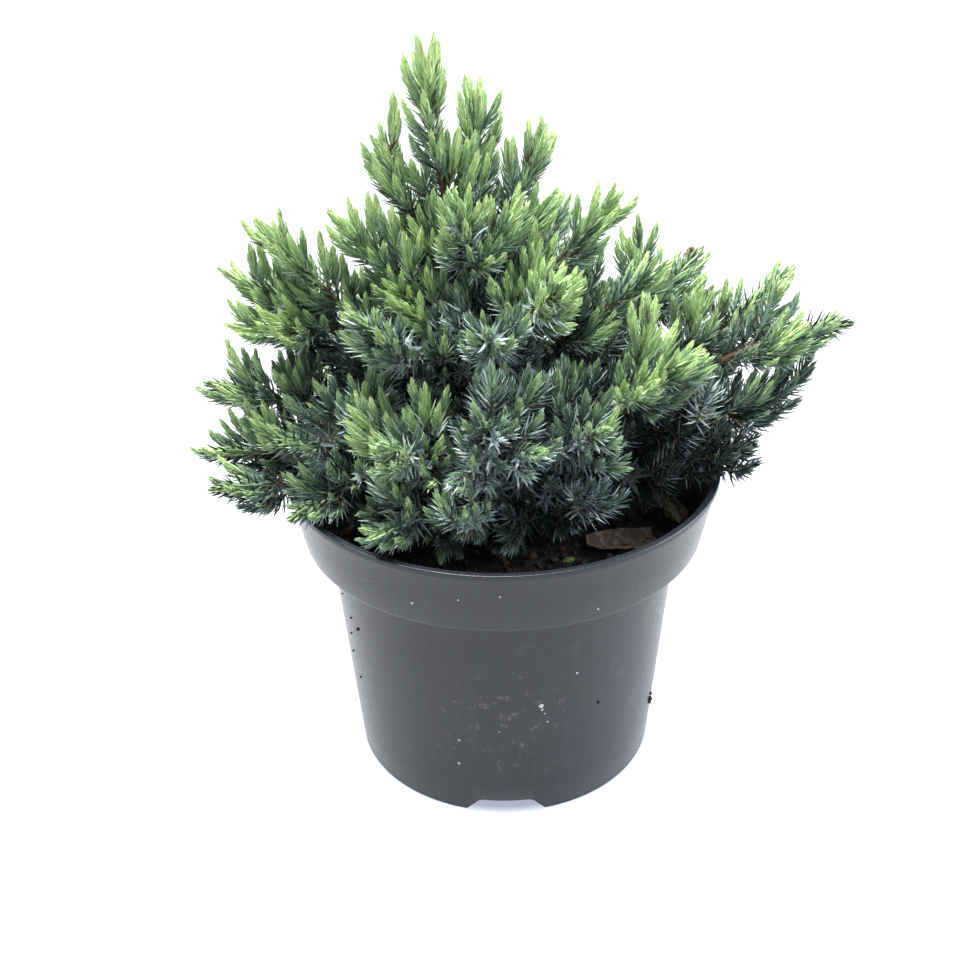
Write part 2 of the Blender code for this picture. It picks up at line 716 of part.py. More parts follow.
def grow_shoots(stems, limbs):
    """Deal shoots to the plumes in turn by the growth rule, and skip each that has no room.

    The rule: shoots leave the stem a golden angle apart, wide near its root and close near its tip,
    shorter towards the tip, and every shoot bends up towards the light.
    """
    draws = np.random.default_rng(SEED)
    shoots, grown, phases = {}, {}, {}
    for plume in PLUMES:
        leader = leader_of(stems[plume.name])
        shoots[plume.name] = [(leader, 1.0)]
        grown[plume.name] = shoot_spheres(leader, 1.0)
        phases[plume.name] = draws.uniform(0.0, FULL_TURN)
    for k in range(SHOOTS_EACH):
        for plume in PLUMES:
            for attempt in range(TRIES):
                angle = phases[plume.name] + GOLDEN_ANGLE * k + TRY_TURN * attempt
                angle += draws.uniform(-ANGLE_SPREAD, ANGLE_SPREAD)
                scale = draws.uniform(*SCALES) * (1.0 - TRY_SHRINKS * attempt)
                shoot = lateral(stems[plume.name], plume.spread, (k + 0.5) / SHOOTS_EACH, angle, scale)
                spheres = shoot_spheres(shoot, scale)
                if fits(spheres, limbs, grown, plume.name):
                    shoots[plume.name].append((shoot, scale))
                    grown[plume.name] = np.vstack((grown[plume.name], spheres))
                    break
    return shoots


def toothed_shoot(shoot, scale):
    """Return a bmesh of a shoot: a three-sided core whose faces rise into teeth that lean forward."""
    bm = bmesh.new()
    bare, span = SHOOT_CORE_SWELL
    step = (LAST_RING - SHOOT_BARE) / TOOTHED_RINGS
    stops = [0.0] + [SHOOT_BARE + step * k for k in range(TOOTHED_RINGS + 1)]
    rings = []
    for k, t in enumerate(stops):
        core = SHOOT_ROOT if k == 0 else SHOOT_CORE * scale * math.sin(math.pi * (bare + span * t))
        angles = turns(k * FULL_TURN / 6, 3)
        rings.append(ring(bm, shoot.at(t), side_axes(shoot.along(t)), core, angles))
    bm.faces.new(rings[0])
    tip = bm.verts.new(shoot.at(1.0))
    for k in range(len(rings) - 1):
        lower, upper = rings[k], rings[k + 1]
        for j in range(3):
            nxt = (j + 1) % 3
            bm.faces.new((upper[j], lower[nxt], upper[nxt]))
            base = (lower[j], lower[nxt], upper[j])
            if k == 0:
                bm.faces.new(base)
            else:
                raise_tooth(bm, base, shoot, (stops[k] + stops[k + 1]) / 2, scale)
    last = rings[-1]
    for j in range(3):
        bm.faces.new((last[j], last[(j + 1) % 3], tip))
    return bm


def raise_tooth(bm, base, shoot, t, scale):
    """Raise one needle-like tooth on a face of a shoot's core."""
    middle = (base[0].co + base[1].co + base[2].co) / 3
    along = shoot.along(t)
    outward = middle - shoot.at(t)
    outward -= along * outward.dot(along)
    rise = shoot_reach(t) * scale - outward.length
    point = bm.verts.new(middle + outward.normalized() * rise + along * (rise / math.tan(TOOTH_LEAN)))
    for j in range(3):
        bm.faces.new((base[j], base[(j + 1) % 3], point))


def plume_core(stem):
    """Return a bmesh of the stem of a plume with its small dense heart."""
    bm = bmesh.new()
    loops = []
    for share in CORE_STEPS:
        t = stem.heart_end() * share
        axes = side_axes(stem.along(t))
        loops.append(ring(bm, stem.at(t), axes, stem.heart_radius(share), turns(0.0, STEM_SIDES)))
    bm.faces.new(loops[0])
    bm.faces.new(loops[-1])
    for lower, upper in zip(loops, loops[1:]):
        for j in range(STEM_SIDES):
            nxt = (j + 1) % STEM_SIDES
            bm.faces.new((lower[j], lower[nxt], upper[nxt], upper[j]))
    return bm


def keep_largest(made):
    """Drop loose scraps and fill sealed hollows: keep only the largest closed skin, free of tiny edges."""
    bm = bmesh.new()
    bm.from_mesh(made.data)
    bmesh.ops.triangulate(bm, faces=bm.faces)
    bmesh.ops.dissolve_degenerate(bm, dist=SHORTEST_EDGE, edges=bm.edges)
    bmesh.ops.triangulate(bm, faces=bm.faces)
    left = set(bm.verts)
    skins = []
    while left:
        skin, edge = set(), [left.pop()]
        while edge:
            vert = edge.pop()
            skin.add(vert)
            for link in vert.link_edges:
                other = link.other_vert(vert)
                if other in left:
                    left.discard(other)
                    edge.append(other)
        skins.append(skin)
    skins.sort(key=len)
    for skin in skins[:-1]:
        bmesh.ops.delete(bm, geom=list(skin), context="VERTS")
    bm.to_mesh(made.data)
    bm.free()


def make_plume(plume, stem, shoots, needles):
    """Make one plume: its stem, heart and shoots fused into one closed solid."""
    group = bpy.data.collections.new(plume.name + "_shoots")
    bpy.context.scene.collection.children.link(group)
    for shoot, scale in shoots:
        piece = solid(toothed_shoot(shoot, scale), "shoot", needles, smooth=False)
        bpy.context.scene.collection.objects.unlink(piece)
        group.objects.link(piece)
    made = solid(plume_core(stem), "foliage_" + plume.name, needles, smooth=False)
    apply_boolean(made, group, "UNION", "MANIFOLD")
    keep_largest(made)


def main():
    """Build the pot, the soil, the limbs and the plumes."""
    for old in list(bpy.data.objects):
        bpy.data.objects.remove(old)
    make_pot()
    make_soil()
    for chip in CHIPS:
        make_chip(chip)
    bark, needles = material(BARK), material(NEEDLES)
    trunk, boughs, stems, limbs = grow_limbs()
    solid(tube(trunk, TRUNK_SIDES, TRUNK_RINGS, level_foot=True), "trunk", bark)
    for name, bough in boughs.items():
        solid(tube(bough, BOUGH_SIDES, BOUGH_RINGS), "bough_" + name, bark)
    shoots = grow_shoots(stems, limbs)
    for plume in PLUMES:
        make_plume(plume, stems[plume.name], shoots[plume.name], needles)


main()
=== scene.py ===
"""The looks of a dwarf blue juniper in its moulded nursery pot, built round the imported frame.

Every size is in metres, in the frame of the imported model: the origin is at the middle of the pot's
underside and +Z is up. The pot, the compost, the litter, the limbs and the foliage are classes that model
their own meshes and dress them. The foliage grows by the same seeded rule as the solids that it replaces,
and goes on from them to finer shoots within the same reach.
"""

import logging
import math
from collections.abc import Callable, Iterable, Sequence
from dataclasses import dataclass, field
from enum import Enum
from itertools import product

import bmesh
import bpy
import numpy as np
from bmesh.types import BMEdge, BMesh, BMVert
from mathutils import Matrix, Vector, noise


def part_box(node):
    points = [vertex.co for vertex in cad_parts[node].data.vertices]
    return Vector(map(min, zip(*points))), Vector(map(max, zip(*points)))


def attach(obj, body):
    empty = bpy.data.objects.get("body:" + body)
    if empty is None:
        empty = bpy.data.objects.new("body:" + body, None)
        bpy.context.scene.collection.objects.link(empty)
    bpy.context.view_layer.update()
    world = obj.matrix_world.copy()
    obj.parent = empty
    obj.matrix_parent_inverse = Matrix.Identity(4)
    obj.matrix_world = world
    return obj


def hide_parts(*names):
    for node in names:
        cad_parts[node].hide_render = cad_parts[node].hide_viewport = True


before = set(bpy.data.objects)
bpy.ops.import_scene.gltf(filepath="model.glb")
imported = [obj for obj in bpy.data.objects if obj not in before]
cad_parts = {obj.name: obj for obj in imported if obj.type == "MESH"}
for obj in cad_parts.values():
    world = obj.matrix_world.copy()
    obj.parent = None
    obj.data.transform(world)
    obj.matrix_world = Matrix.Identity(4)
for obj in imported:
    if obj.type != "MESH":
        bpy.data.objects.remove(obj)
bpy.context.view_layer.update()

LOG = logging.getLogger("juniper")
BODY = "root"
UP = Vector((0.0, 0.0, 1.0))
FULL_TURN = 2.0 * math.pi

# Measures read from the frame
POT_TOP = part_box("pot")[1]
RIM_RADIUS = POT_TOP.x
POT_HEIGHT = POT_TOP.z

Triple = tuple[float, float, float]
Colour = Triple
Pair = tuple[float, float]
Socket = bpy.types.NodeSocket
Draws = np.random.Generator
Rows = dict[str, np.ndarray]
Block = tuple[np.ndarray, np.ndarray]


class Slot(Enum):
    """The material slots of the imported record."""

    POT = "pot_plastic"
    COMPOST = "compost"
    DRY_BARK = "dry_bark"
    BARK = "bark"
    NEEDLES = "needles"


class Tree:
    """A node tree with short ways to add nodes and join them."""

    def __init__(self, tree: bpy.types.NodeTree) -> None:
        """Keep the tree."""
        self.tree = tree

    def add(self, kind: str, **settings: object) -> bpy.types.Node:
        """Add a node.

        Args:
            kind: the node's type name.
            settings: attributes to set, or inputs where the name is an input's with spaces as underscores.

        Returns:
            The new node.
        """
        node = self.tree.nodes.new(kind)
        for name, value in settings.items():
            if hasattr(node, name):
                setattr(node, name, value)
            else:
                node.inputs[name.replace("_", " ")].default_value = value
        return node

    def join(self, source: Socket, target: Socket) -> None:
        """Link an output to an input."""
        self.tree.links.new(source, target)

    def place(self, scale: Sequence[float] = (1.0, 1.0, 1.0)) -> Socket:
        """Return object coordinates, stretched by a Mapping node."""
        coordinates = self.add("ShaderNodeTexCoord")
        mapping = self.add("ShaderNodeMapping", Scale=scale)
        self.join(coordinates.outputs["Object"], mapping.inputs["Vector"])
        return mapping.outputs["Vector"]

    def noise(self, vector: Socket, scale: float, detail: float = 4.0, roughness: float = 0.55) -> Socket:
        """Return a noise value at a scale."""
        node = self.add("ShaderNodeTexNoise", Scale=scale, Detail=detail, Roughness=roughness)
        self.join(vector, node.inputs["Vector"])
        return node.outputs["Fac"]

    def ramp(self, value: Socket, low: float, high: float, out_low: float = 0.0,
             out_high: float = 1.0) -> Socket:
        """Return a value brought from one range to another, held at both ends."""
        node = self.add("ShaderNodeMapRange", clamp=True, From_Min=low, From_Max=high, To_Min=out_low,
                        To_Max=out_high)
        self.join(value, node.inputs["Value"])
        return node.outputs["Result"]

    def maths(self, operation: str, first: Socket, second: Socket | float) -> Socket:
        """Return the outcome of one sum on a value and a second value or number."""
        node = self.add("ShaderNodeMath", operation=operation)
        self.join(first, node.inputs[0])
        if isinstance(second, float):
            node.inputs[1].default_value = second
        else:
            self.join(second, node.inputs[1])
        return node.outputs["Value"]

    def blend(self, share: Socket, first: Socket | Colour, second: Socket | Colour) -> Socket:
        """Return one colour turned into another by a share."""
        node = self.add("ShaderNodeMix", data_type="RGBA")
        self.join(share, node.inputs["Factor"])
        for place, colour in ((6, first), (7, second)):
            if isinstance(colour, tuple):
                node.inputs[place].default_value = (*colour, 1.0)
            else:
                self.join(colour, node.inputs[place])
        return node.outputs[2]


def new_group(name: str, number: str, **outputs: str) -> Tree:
    """Start a shader node group that takes a place, a scale and one more number.

    Args:
        name: the group's name.
        number: the name of the further number.
        outputs: the kind of each output by its name.

    Returns:
        The group's tree.
    """
    tree = bpy.data.node_groups.new(name, "ShaderNodeTree")
    for label, kind in (("Vector", "Vector"), ("Scale", "Float"), (number, "Float")):
        tree.interface.new_socket(label, in_out="INPUT", socket_type="NodeSocket" + kind)
    for label, kind in outputs.items():
        tree.interface.new_socket(label, in_out="OUTPUT", socket_type="NodeSocket" + kind)
    return Tree(tree)


class Effects:
    """The shader node groups that several finishes share."""

    def __init__(self) -> None:
        """Build each group once."""
        self.grain = self._grain()
        self.patches = self._patches()

    @staticmethod
    def _grain() -> bpy.types.NodeTree:
        """Return fine grain: a value and a bumped normal."""
        made = new_group("grain", "Depth", Value="Float", Normal="Vector")
        start, end = made.add("NodeGroupInput"), made.add("NodeGroupOutput")
        pattern = made.add("ShaderNodeTexNoise", Detail=5.0, Roughness=0.6)
        bump = made.add("ShaderNodeBump", Strength=1.0)
        for source, target in (
                (start.outputs["Vector"], pattern.inputs["Vector"]),
                (start.outputs["Scale"], pattern.inputs["Scale"]),
                (start.outputs["Depth"], bump.inputs["Distance"]),
                (pattern.outputs["Fac"], bump.inputs["Height"]),
                (pattern.outputs["Fac"], end.inputs["Value"]),
                (bump.outputs["Normal"], end.inputs["Normal"])):
            made.join(source, target)
        return made.tree

    @staticmethod
    def _patches() -> bpy.types.NodeTree:
        """Return a mask of soft-edged patches, such as dust, wear or damp."""
        made = new_group("patches", "Cover", Mask="Float")
        start, end = made.add("NodeGroupInput"), made.add("NodeGroupOutput")
        pattern = made.add("ShaderNodeTexNoise", Detail=6.0, Roughness=0.68)
        made.join(start.outputs["Vector"], pattern.inputs["Vector"])
        made.join(start.outputs["Scale"], pattern.inputs["Scale"])
        edge = made.maths("SUBTRACT", pattern.outputs["Fac"], start.outputs["Cover"])
        made.join(made.ramp(edge, 0.0, 0.12), end.inputs["Mask"])
        return made.tree


@dataclass(frozen=True)
class Finish:
    """A finish with a plain base colour, whose gloss and grain vary over the surface."""

    name: str
    colour: Colour
    roughness: float = 0.6
    specular: float = 0.3
    grain_scale: float = 600.0
    grain_depth: float = 0.0002

    def paint(self, effects: Effects) -> bpy.types.Material:
        """Make the material.

        Args:
            effects: the shared node groups.

        Returns:
            The new material.
        """
        made = bpy.data.materials.new(self.name)
        made.use_nodes = True
        tree = Tree(made.node_tree)
        shader = made.node_tree.nodes["Principled BSDF"]
        shader.inputs["Base Color"].default_value = (*self.colour, 1.0)
        shader.inputs["Specular IOR Level"].default_value = self.specular
        grain = self.effect(tree, effects.grain, Scale=self.grain_scale, Depth=self.grain_depth)
        tree.join(tree.ramp(grain.outputs["Value"], 0.3, 0.7, self.roughness - 0.1, self.roughness + 0.1),
                  shader.inputs["Roughness"])
        tree.join(grain.outputs["Normal"], shader.inputs["Normal"])
        self.colour_in(tree, effects, shader)
        return made

    @staticmethod
    def effect(tree: Tree, group: bpy.types.NodeTree, stretch: Sequence[float] = (1.0, 1.0, 1.0),
               **values: float) -> bpy.types.Node:
        """Return a shared group on stretched object coordinates, with its own values."""
        node = tree.add("ShaderNodeGroup", node_tree=group, **values)
        tree.join(tree.place(stretch), node.inputs["Vector"])
        return node

    def colour_in(self, tree: Tree, effects: Effects, shader: bpy.types.Node) -> None:
        """Leave the base colour plain."""


@dataclass(frozen=True)
class MouldedPlastic(Finish):
    """Black moulded plastic that handling, water and dust have dulled to slate."""

    dust: Colour = (0.20, 0.21, 0.23)
    dried_splash: Colour = (0.23, 0.22, 0.21)
    marks_at: Sequence[float] = (0.000, -0.047, 0.037)
    marks_reach: float = 0.026

    def colour_in(self, tree: Tree, effects: Effects, shader: bpy.types.Node) -> None:
        """Lay faint upright streaks, a film of dust and a field of dried marks over the base colour."""
        lighter = tuple(1.35 * part for part in self.colour)
        streaks = tree.ramp(tree.noise(tree.place((1.0, 1.0, 0.08)), 420.0, 3.0), 0.42, 0.62, 0.0, 0.55)
        colour = tree.blend(streaks, self.colour, lighter)
        film = self.effect(tree, effects.patches, Scale=90.0, Cover=0.60).outputs["Mask"]
        colour = tree.blend(tree.maths("MULTIPLY", film, 0.10), colour, self.dust)
        coordinates = tree.add("ShaderNodeTexCoord")
        away = tree.add("ShaderNodeVectorMath", operation="DISTANCE")
        tree.join(coordinates.outputs["Object"], away.inputs[0])
        away.inputs[1].default_value = self.marks_at
        near = tree.ramp(away.outputs["Value"], 0.45 * self.marks_reach, self.marks_reach, 1.0, 0.0)
        splashes = self.effect(tree, effects.patches, Scale=330.0, Cover=0.57).outputs["Mask"]
        marks = tree.maths("MULTIPLY", splashes, near)
        colour = tree.blend(tree.maths("MULTIPLY", marks, 0.60), colour, self.dried_splash)
        tree.join(colour, shader.inputs["Base Color"])


@dataclass(frozen=True)
class DampCompost(Finish):
    """Dark, damp compost with browner and blacker lumps."""

    brown: Colour = (0.040, 0.024, 0.014)

    def colour_in(self, tree: Tree, effects: Effects, shader: bpy.types.Node) -> None:
        """Turn some of the compost brown."""
        mask = self.effect(tree, effects.patches, Scale=260.0, Cover=0.54).outputs["Mask"]
        tree.join(tree.blend(mask, self.colour, self.brown), shader.inputs["Base Color"])


@dataclass(frozen=True)
class Bark(Finish):
    """Thin flaking bark, red-brown between grey-brown scales."""

    flake: Colour = (0.16, 0.115, 0.085)
    stretch: Sequence[float] = (1.0, 1.0, 0.25)

    def colour_in(self, tree: Tree, effects: Effects, shader: bpy.types.Node) -> None:
        """Lay pale flakes over the red-brown."""
        mask = self.effect(tree, effects.patches, self.stretch, Scale=520.0, Cover=0.50).outputs["Mask"]
        tree.join(tree.blend(mask, self.colour, self.flake), shader.inputs["Base Color"])


def dress(made: bpy.types.Object, slot: Slot, replaced: Iterable[str] = ()) -> None:
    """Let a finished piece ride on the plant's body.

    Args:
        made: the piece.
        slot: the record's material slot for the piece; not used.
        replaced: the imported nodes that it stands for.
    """
    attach(made, BODY)
    if names := list(replaced):
        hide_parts(*names)
    LOG.info("%s: %d faces, replaces %s", made.name, len(made.data.polygons), names)


def to_object(bm: BMesh, name: str, materials: Sequence[bpy.types.Material],
              smooth_below: float | None = 40.0, outward: bool = True) -> bpy.types.Object:
    """Turn a bmesh into an object at the origin.

    Args:
        bm: the bmesh, which is freed.
        name: the object's name.
        materials: the materials, in the order of the faces' material numbers.
        smooth_below: shade smooth where faces meet at less than this angle in degrees, or flat if None.
        outward: turn the faces outward.

    Returns:
        The new object.
    """
    if outward:
        bmesh.ops.recalc_face_normals(bm, faces=bm.faces)
    mesh = bpy.data.meshes.new(name)
    bm.to_mesh(mesh)
    bm.free()
    if smooth_below is not None:
        mesh.shade_smooth()
        mesh.set_sharp_from_angle(angle=math.radians(smooth_below))
    for material in materials:
        mesh.materials.append(material)
    made = bpy.data.objects.new(name, mesh)
    bpy.context.scene.collection.objects.link(made)
    return made


def spun(section: Sequence[Vector], steps: int, longest: float = math.inf) -> BMesh:
    """Spin a section about the axis into a closed body.

    Args:
        section: the section's corners in the XZ plane, from the axis round to the axis again.
        steps: the number of steps round.
        longest: the length of run that is left whole, past which it is cut into shorter ones.

    Returns:
        The body.
    """
    bm = bmesh.new()
    verts = [bm.verts.new(point) for point in section]
    for pair in zip(verts, verts[1:]):
        bm.edges.new(pair)
    for edge in list(bm.edges):
        if cuts := int(edge.calc_length() / longest):
            bmesh.ops.subdivide_edges(bm, edges=[edge], cuts=cuts)
    bmesh.ops.spin(bm, geom=bm.verts[:] + bm.edges[:], cent=(0, 0, 0), axis=(0, 0, 1), dvec=(0, 0, 0),
                   angle=FULL_TURN, steps=steps, use_merge=True)
    bmesh.ops.remove_doubles(bm, verts=bm.verts, dist=1e-6)
    return bm


def sweep(bm: BMesh, sides: int, rings: int, place: Callable[[int, int], Vector]) -> None:
    """Sweep a closed tube into a bmesh by extruding a circle from ring to ring.

    Args:
        bm: the bmesh.
        sides: the number of sides.
        rings: the number of rings.
        place: gives the spot of each corner from the numbers of its ring and its side.
    """
    ring = bmesh.ops.create_circle(bm, segments=sides, radius=1.0)["verts"]
    edges = list(dict.fromkeys(edge for vert in ring for edge in vert.link_edges))
    order = {vert: k for k, vert in enumerate(ring)}
    bm.faces.new(ring)
    for k in range(rings):
        if k:
            grown = bmesh.ops.extrude_edge_only(bm, edges=edges)["geom"]
            fresh = [item for item in grown if isinstance(item, BMVert)]
            order = {vert: next(order[edge.other_vert(vert)] for edge in vert.link_edges
                                if edge.other_vert(vert) in order) for vert in fresh}
            edges = [item for item in grown if isinstance(item, BMEdge)
                     and all(vert in order for vert in item.verts)]
        for vert, j in order.items():
            vert.co = place(k, j)
    bmesh.ops.holes_fill(bm, edges=edges, sides=0)


def joined(name: str, corners: np.ndarray, faces: np.ndarray, slots: np.ndarray | None,
           materials: Sequence[bpy.types.Material], smooth: bool = False) -> bpy.types.Object:
    """Make one object of many small closed shapes from arrays.

    Args:
        name: the object's name.
        corners: rows of x, y and z.
        faces: rows of three corner numbers.
        slots: each face's material number, or None for the first.
        materials: the materials.
        smooth: shade smooth.

    Returns:
        The new object.
    """
    mesh = bpy.data.meshes.new(name)
    mesh.vertices.add(len(corners))
    mesh.vertices.foreach_set("co", np.ascontiguousarray(corners, np.float32).ravel())
    mesh.loops.add(faces.size)
    mesh.loops.foreach_set("vertex_index", np.ascontiguousarray(faces, np.int32).ravel())
    mesh.polygons.add(len(faces))
    mesh.polygons.foreach_set("loop_start", np.arange(0, faces.size, 3, dtype=np.int32))
    mesh.update(calc_edges=True)
    for material in materials:
        mesh.materials.append(material)
    if slots is not None:
        mesh.polygons.foreach_set("material_index", np.ascontiguousarray(slots, np.int32))
    mesh.polygons.foreach_set("use_smooth", np.full(len(faces), smooth))
    mesh.update()
    mesh.validate()
    made = bpy.data.objects.new(name, mesh)
    bpy.context.scene.collection.objects.link(made)
    return made


@dataclass
class Template:
    """One small closed shape whose copies are dealt out by arrays."""

    corners: np.ndarray
    faces: np.ndarray
    slots: np.ndarray

    @classmethod
    def of(cls, bm: BMesh) -> "Template":
        """Read a template from a bmesh, which is freed."""
        bmesh.ops.recalc_face_normals(bm, faces=bm.faces)
        bmesh.ops.triangulate(bm, faces=bm.faces)
        bm.verts.index_update()
        corners = np.array([vert.co[:] for vert in bm.verts])
        faces = np.array([[vert.index for vert in face.verts] for face in bm.faces])
        slots = np.array([face.material_index for face in bm.faces])
        bm.free()
        return cls(corners, faces, slots)

    def copies(self, corners: np.ndarray) -> Block:
        """Return the corners and faces of copies, given as one block of placed corners each."""
        count, size = corners.shape[:2]
        starts = np.arange(count)[:, None, None] * size
        return corners.reshape(-1, 3), (self.faces[None] + starts).reshape(-1, 3)


def side_axes(direction: Vector) -> tuple[Vector, Vector]:
    """Return two directions square to a direction and to each other."""
    across = direction.cross(UP)
    if across.length < 1e-3:
        across = direction.cross(Vector((1.0, 0.0, 0.0)))
    across.normalize()
    return across, across.cross(direction).normalized()


class Limb:
    """A tapering round limb on a quadratic curve, which may go on from its carrier's end."""

    goes_on = False

    def __init__(self, start: Vector, bend: Vector, end: Vector, root_radius: float,
                 tip_radius: float) -> None:
        """Keep the curve and the radii at both ends."""
        self.start, self.bend, self.end = Vector(start), Vector(bend), Vector(end)
        self.root_radius, self.tip_radius = root_radius, tip_radius

    def at(self, t: float) -> Vector:
        """Return the point at t."""
        return self.start * (1 - t) ** 2 + self.bend * (2 * t * (1 - t)) + self.end * t ** 2

    def along(self, t: float) -> Vector:
        """Return the direction at t."""
        return ((self.bend - self.start) * (1 - t) + (self.end - self.bend) * t).normalized()

    def radius(self, t: float) -> float:
        """Return the radius at t."""
        return self.root_radius + (self.tip_radius - self.root_radius) * t

    def length(self) -> float:
        """Return the length from root to tip, as the crow flies."""
        return (self.end - self.start).length

    def spheres(self, count: int = 14) -> np.ndarray:
        """Return spheres that follow the limb, as rows of x, y, z and radius."""
        return np.array([(*self.at(k / count), self.radius(k / count)) for k in range(count + 1)])


@dataclass(frozen=True)
class Plume:
    """Where a plume's tip is, what carries it, how it spreads and sags, and how its tone shifts: partly
    fresher or older needles, partly painted light on sunny plumes and painted shade in hollows and under the
    crown.
    """

    name: str
    azimuth: float
    reach: float
    height: float
    carrier: str = "own"
    share: float = 0.50
    spread: float = 1.0
    sag: float = 0.09
    # tone shifts the plume's needles toward fresher or darker tints: partly their age, partly painted light
    # and shade by region.
    tone: float = 0.0

    def tip(self) -> Vector:
        """Return the plume's tip."""
        angle = math.radians(self.azimuth)
        return Vector((self.reach * math.cos(angle), self.reach * math.sin(angle), self.height))

    def node(self) -> str:
        """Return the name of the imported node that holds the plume."""
        return "foliage_" + self.name


PLUMES = (
    Plume("spire", 169, 0.0215, 0.2215, "trunk", 1.0, spread=0.5, tone=0.08),
    Plume("skirt_left", 189, 0.089, 0.109, spread=0.8, tone=0.14),
    Plume("skirt_left_front", 200, 0.088, 0.105, "skirt_left", 0.72, tone=0.10),
    Plume("low_left", 184, 0.086, 0.127, share=0.46, spread=0.75, tone=0.14),
    Plume("rim_left", 219, 0.075, 0.105, "low_left", 0.60, tone=0.14),
    Plume("left_front", 212, 0.074, 0.124, "low_left", 0.66, tone=-0.02),
    Plume("arm_left", 177, 0.080, 0.158, tone=0.18),
    Plume("arm_left_top", 180, 0.067, 0.174, "arm_left", 0.80, spread=0.8, tone=0.18),
    Plume("shoulder_left", 184, 0.047, 0.177, "trunk", 0.66, spread=1.1, tone=0.08),
    Plume("crown_left", 171, 0.035, 0.195, "trunk", 0.80, spread=0.75, tone=0.10),
    Plume("crown_back", 108, 0.016, 0.208, "trunk", 0.94, spread=0.6, tone=0.08),
    Plume("crown_back_right", 60, 0.0275, 0.1925, "trunk", 0.84, spread=0.7, tone=0.10),
    Plume("crown_right", 5, 0.0345, 0.1795, "trunk", 0.74, spread=0.8, tone=0.12),
    Plume("crown_front", 246, 0.025, 0.186, "trunk", 0.88, tone=-0.02),
    Plume("shoulder_right", 10, 0.051, 0.157, "trunk", 0.55, spread=0.85, tone=0.14),
    Plume("back_right_up", 34, 0.076, 0.148),
    Plume("arm_right", 3, 0.1025, 0.138, share=0.54, spread=0.6, sag=-0.12, tone=0.02),
    Plume("right_up", 14, 0.090, 0.150, "arm_right", 0.70, tone=0.06),
    Plume("skirt_right_up", 359, 0.084, 0.119, share=0.44, spread=0.7),
    Plume("skirt_right", 345, 0.0745, 0.110, "skirt_right_up", 0.60, spread=0.85, tone=-0.38),
    Plume("right_low", 337, 0.062, 0.121, "skirt_right_up", 0.50, tone=-0.36),
    Plume("right_front", 329, 0.063, 0.147, share=0.42, tone=0.14),
    Plume("soil_right", 326, 0.053, 0.101, "right_front", 0.50, tone=-0.40),
    Plume("front_right", 299, 0.058, 0.134, share=0.42),
    Plume("soil_front", 297, 0.048, 0.101, "front_right", 0.50, tone=-0.04),
    Plume("front_heart", 280, 0.044, 0.121, "front_right", 0.34, spread=1.25, tone=-0.26),
    Plume("front", 266, 0.061, 0.141, share=0.42, tone=-0.20),
    Plume("skirt_front", 258, 0.055, 0.103, "front", 0.50, tone=0.18),
    Plume("front_left", 241, 0.066, 0.134, share=0.42, tone=0.12),
    Plume("skirt_front_left", 240, 0.070, 0.107, "front_left", 0.50, tone=0.22),
    Plume("front_left_up", 222, 0.054, 0.161, "trunk", 0.50, tone=-0.08),
    Plume("front_up", 266, 0.049, 0.161, "trunk", 0.60, tone=-0.20),
    Plume("front_right_up", 292, 0.045, 0.171, "trunk", 0.70, tone=0.22),
    Plume("skirt_back_right", 52, 0.070, 0.107, "back_right_up", 0.55, spread=1.25),
    Plume("back_right", 58, 0.060, 0.134, "back_right_up", 0.72, spread=1.25),
    Plume("back", 88, 0.062, 0.140, share=0.42, spread=1.25),
    Plume("skirt_back", 92, 0.066, 0.105, "back", 0.52, spread=1.25),
    Plume("back_left", 133, 0.066, 0.138, share=0.42, spread=1.25),
    Plume("skirt_back_left", 142, 0.074, 0.108, "back_left", 0.56, spread=1.25),
    Plume("back_left_up", 128, 0.045, 0.169, "trunk", 0.58, spread=1.2),
    Plume("back_right_shoulder", 66, 0.048, 0.166, "trunk", 0.64, spread=1.2),
    Plume("flank_left", 168, 0.060, 0.134, "arm_left", 0.45, tone=-0.02),
    Plume("flank_right", 12, 0.076, 0.126, "arm_right", 0.45),
)


class Order(Enum):
    """The kinds of shoot, each with how much fresher it looks than its place alone makes it; for the inner
    shoots this is partly painted shade.
    """

    STEM = -0.50
    LEADER = 0.16
    LATERAL = 0.10
    SIDE = 0.04
    # Inner shoots are set back toward the dark tints: partly older needles, partly painted shade inside the
    # crown.
    INNER = -0.16


@dataclass
class Shoot:
    """A leafy shoot: its curve, its size beside a full one, its kind and the plume that it belongs to."""

    curve: Limb
    scale: float
    order: Order
    plume: Plume


class Crowd:
    """Points kept by cubic cell, to tell quickly whether another point has room among them."""

    def __init__(self, spacing: float) -> None:
        """Start with no points and the least distance between two of them."""
        self.spacing = spacing
        self.cells: dict[tuple[int, int, int], list[Vector]] = {}

    def cell(self, point: Vector) -> tuple[int, int, int]:
        """Return the cell that a point is in."""
        return tuple(math.floor(part / self.spacing) for part in point)

    def add(self, points: Iterable[Vector]) -> None:
        """Put points in their cells."""
        for point in points:
            self.cells.setdefault(self.cell(point), []).append(point)

    def has_room(self, point: Vector) -> bool:
        """Say whether a point is clear of all the others."""
        x, y, z = self.cell(point)
        near = (self.cells.get((x + i, y + j, z + k), ()) for i, j, k in product((-1, 0, 1), repeat=3))
        return all((point - other).length > self.spacing for cell in near for other in cell)


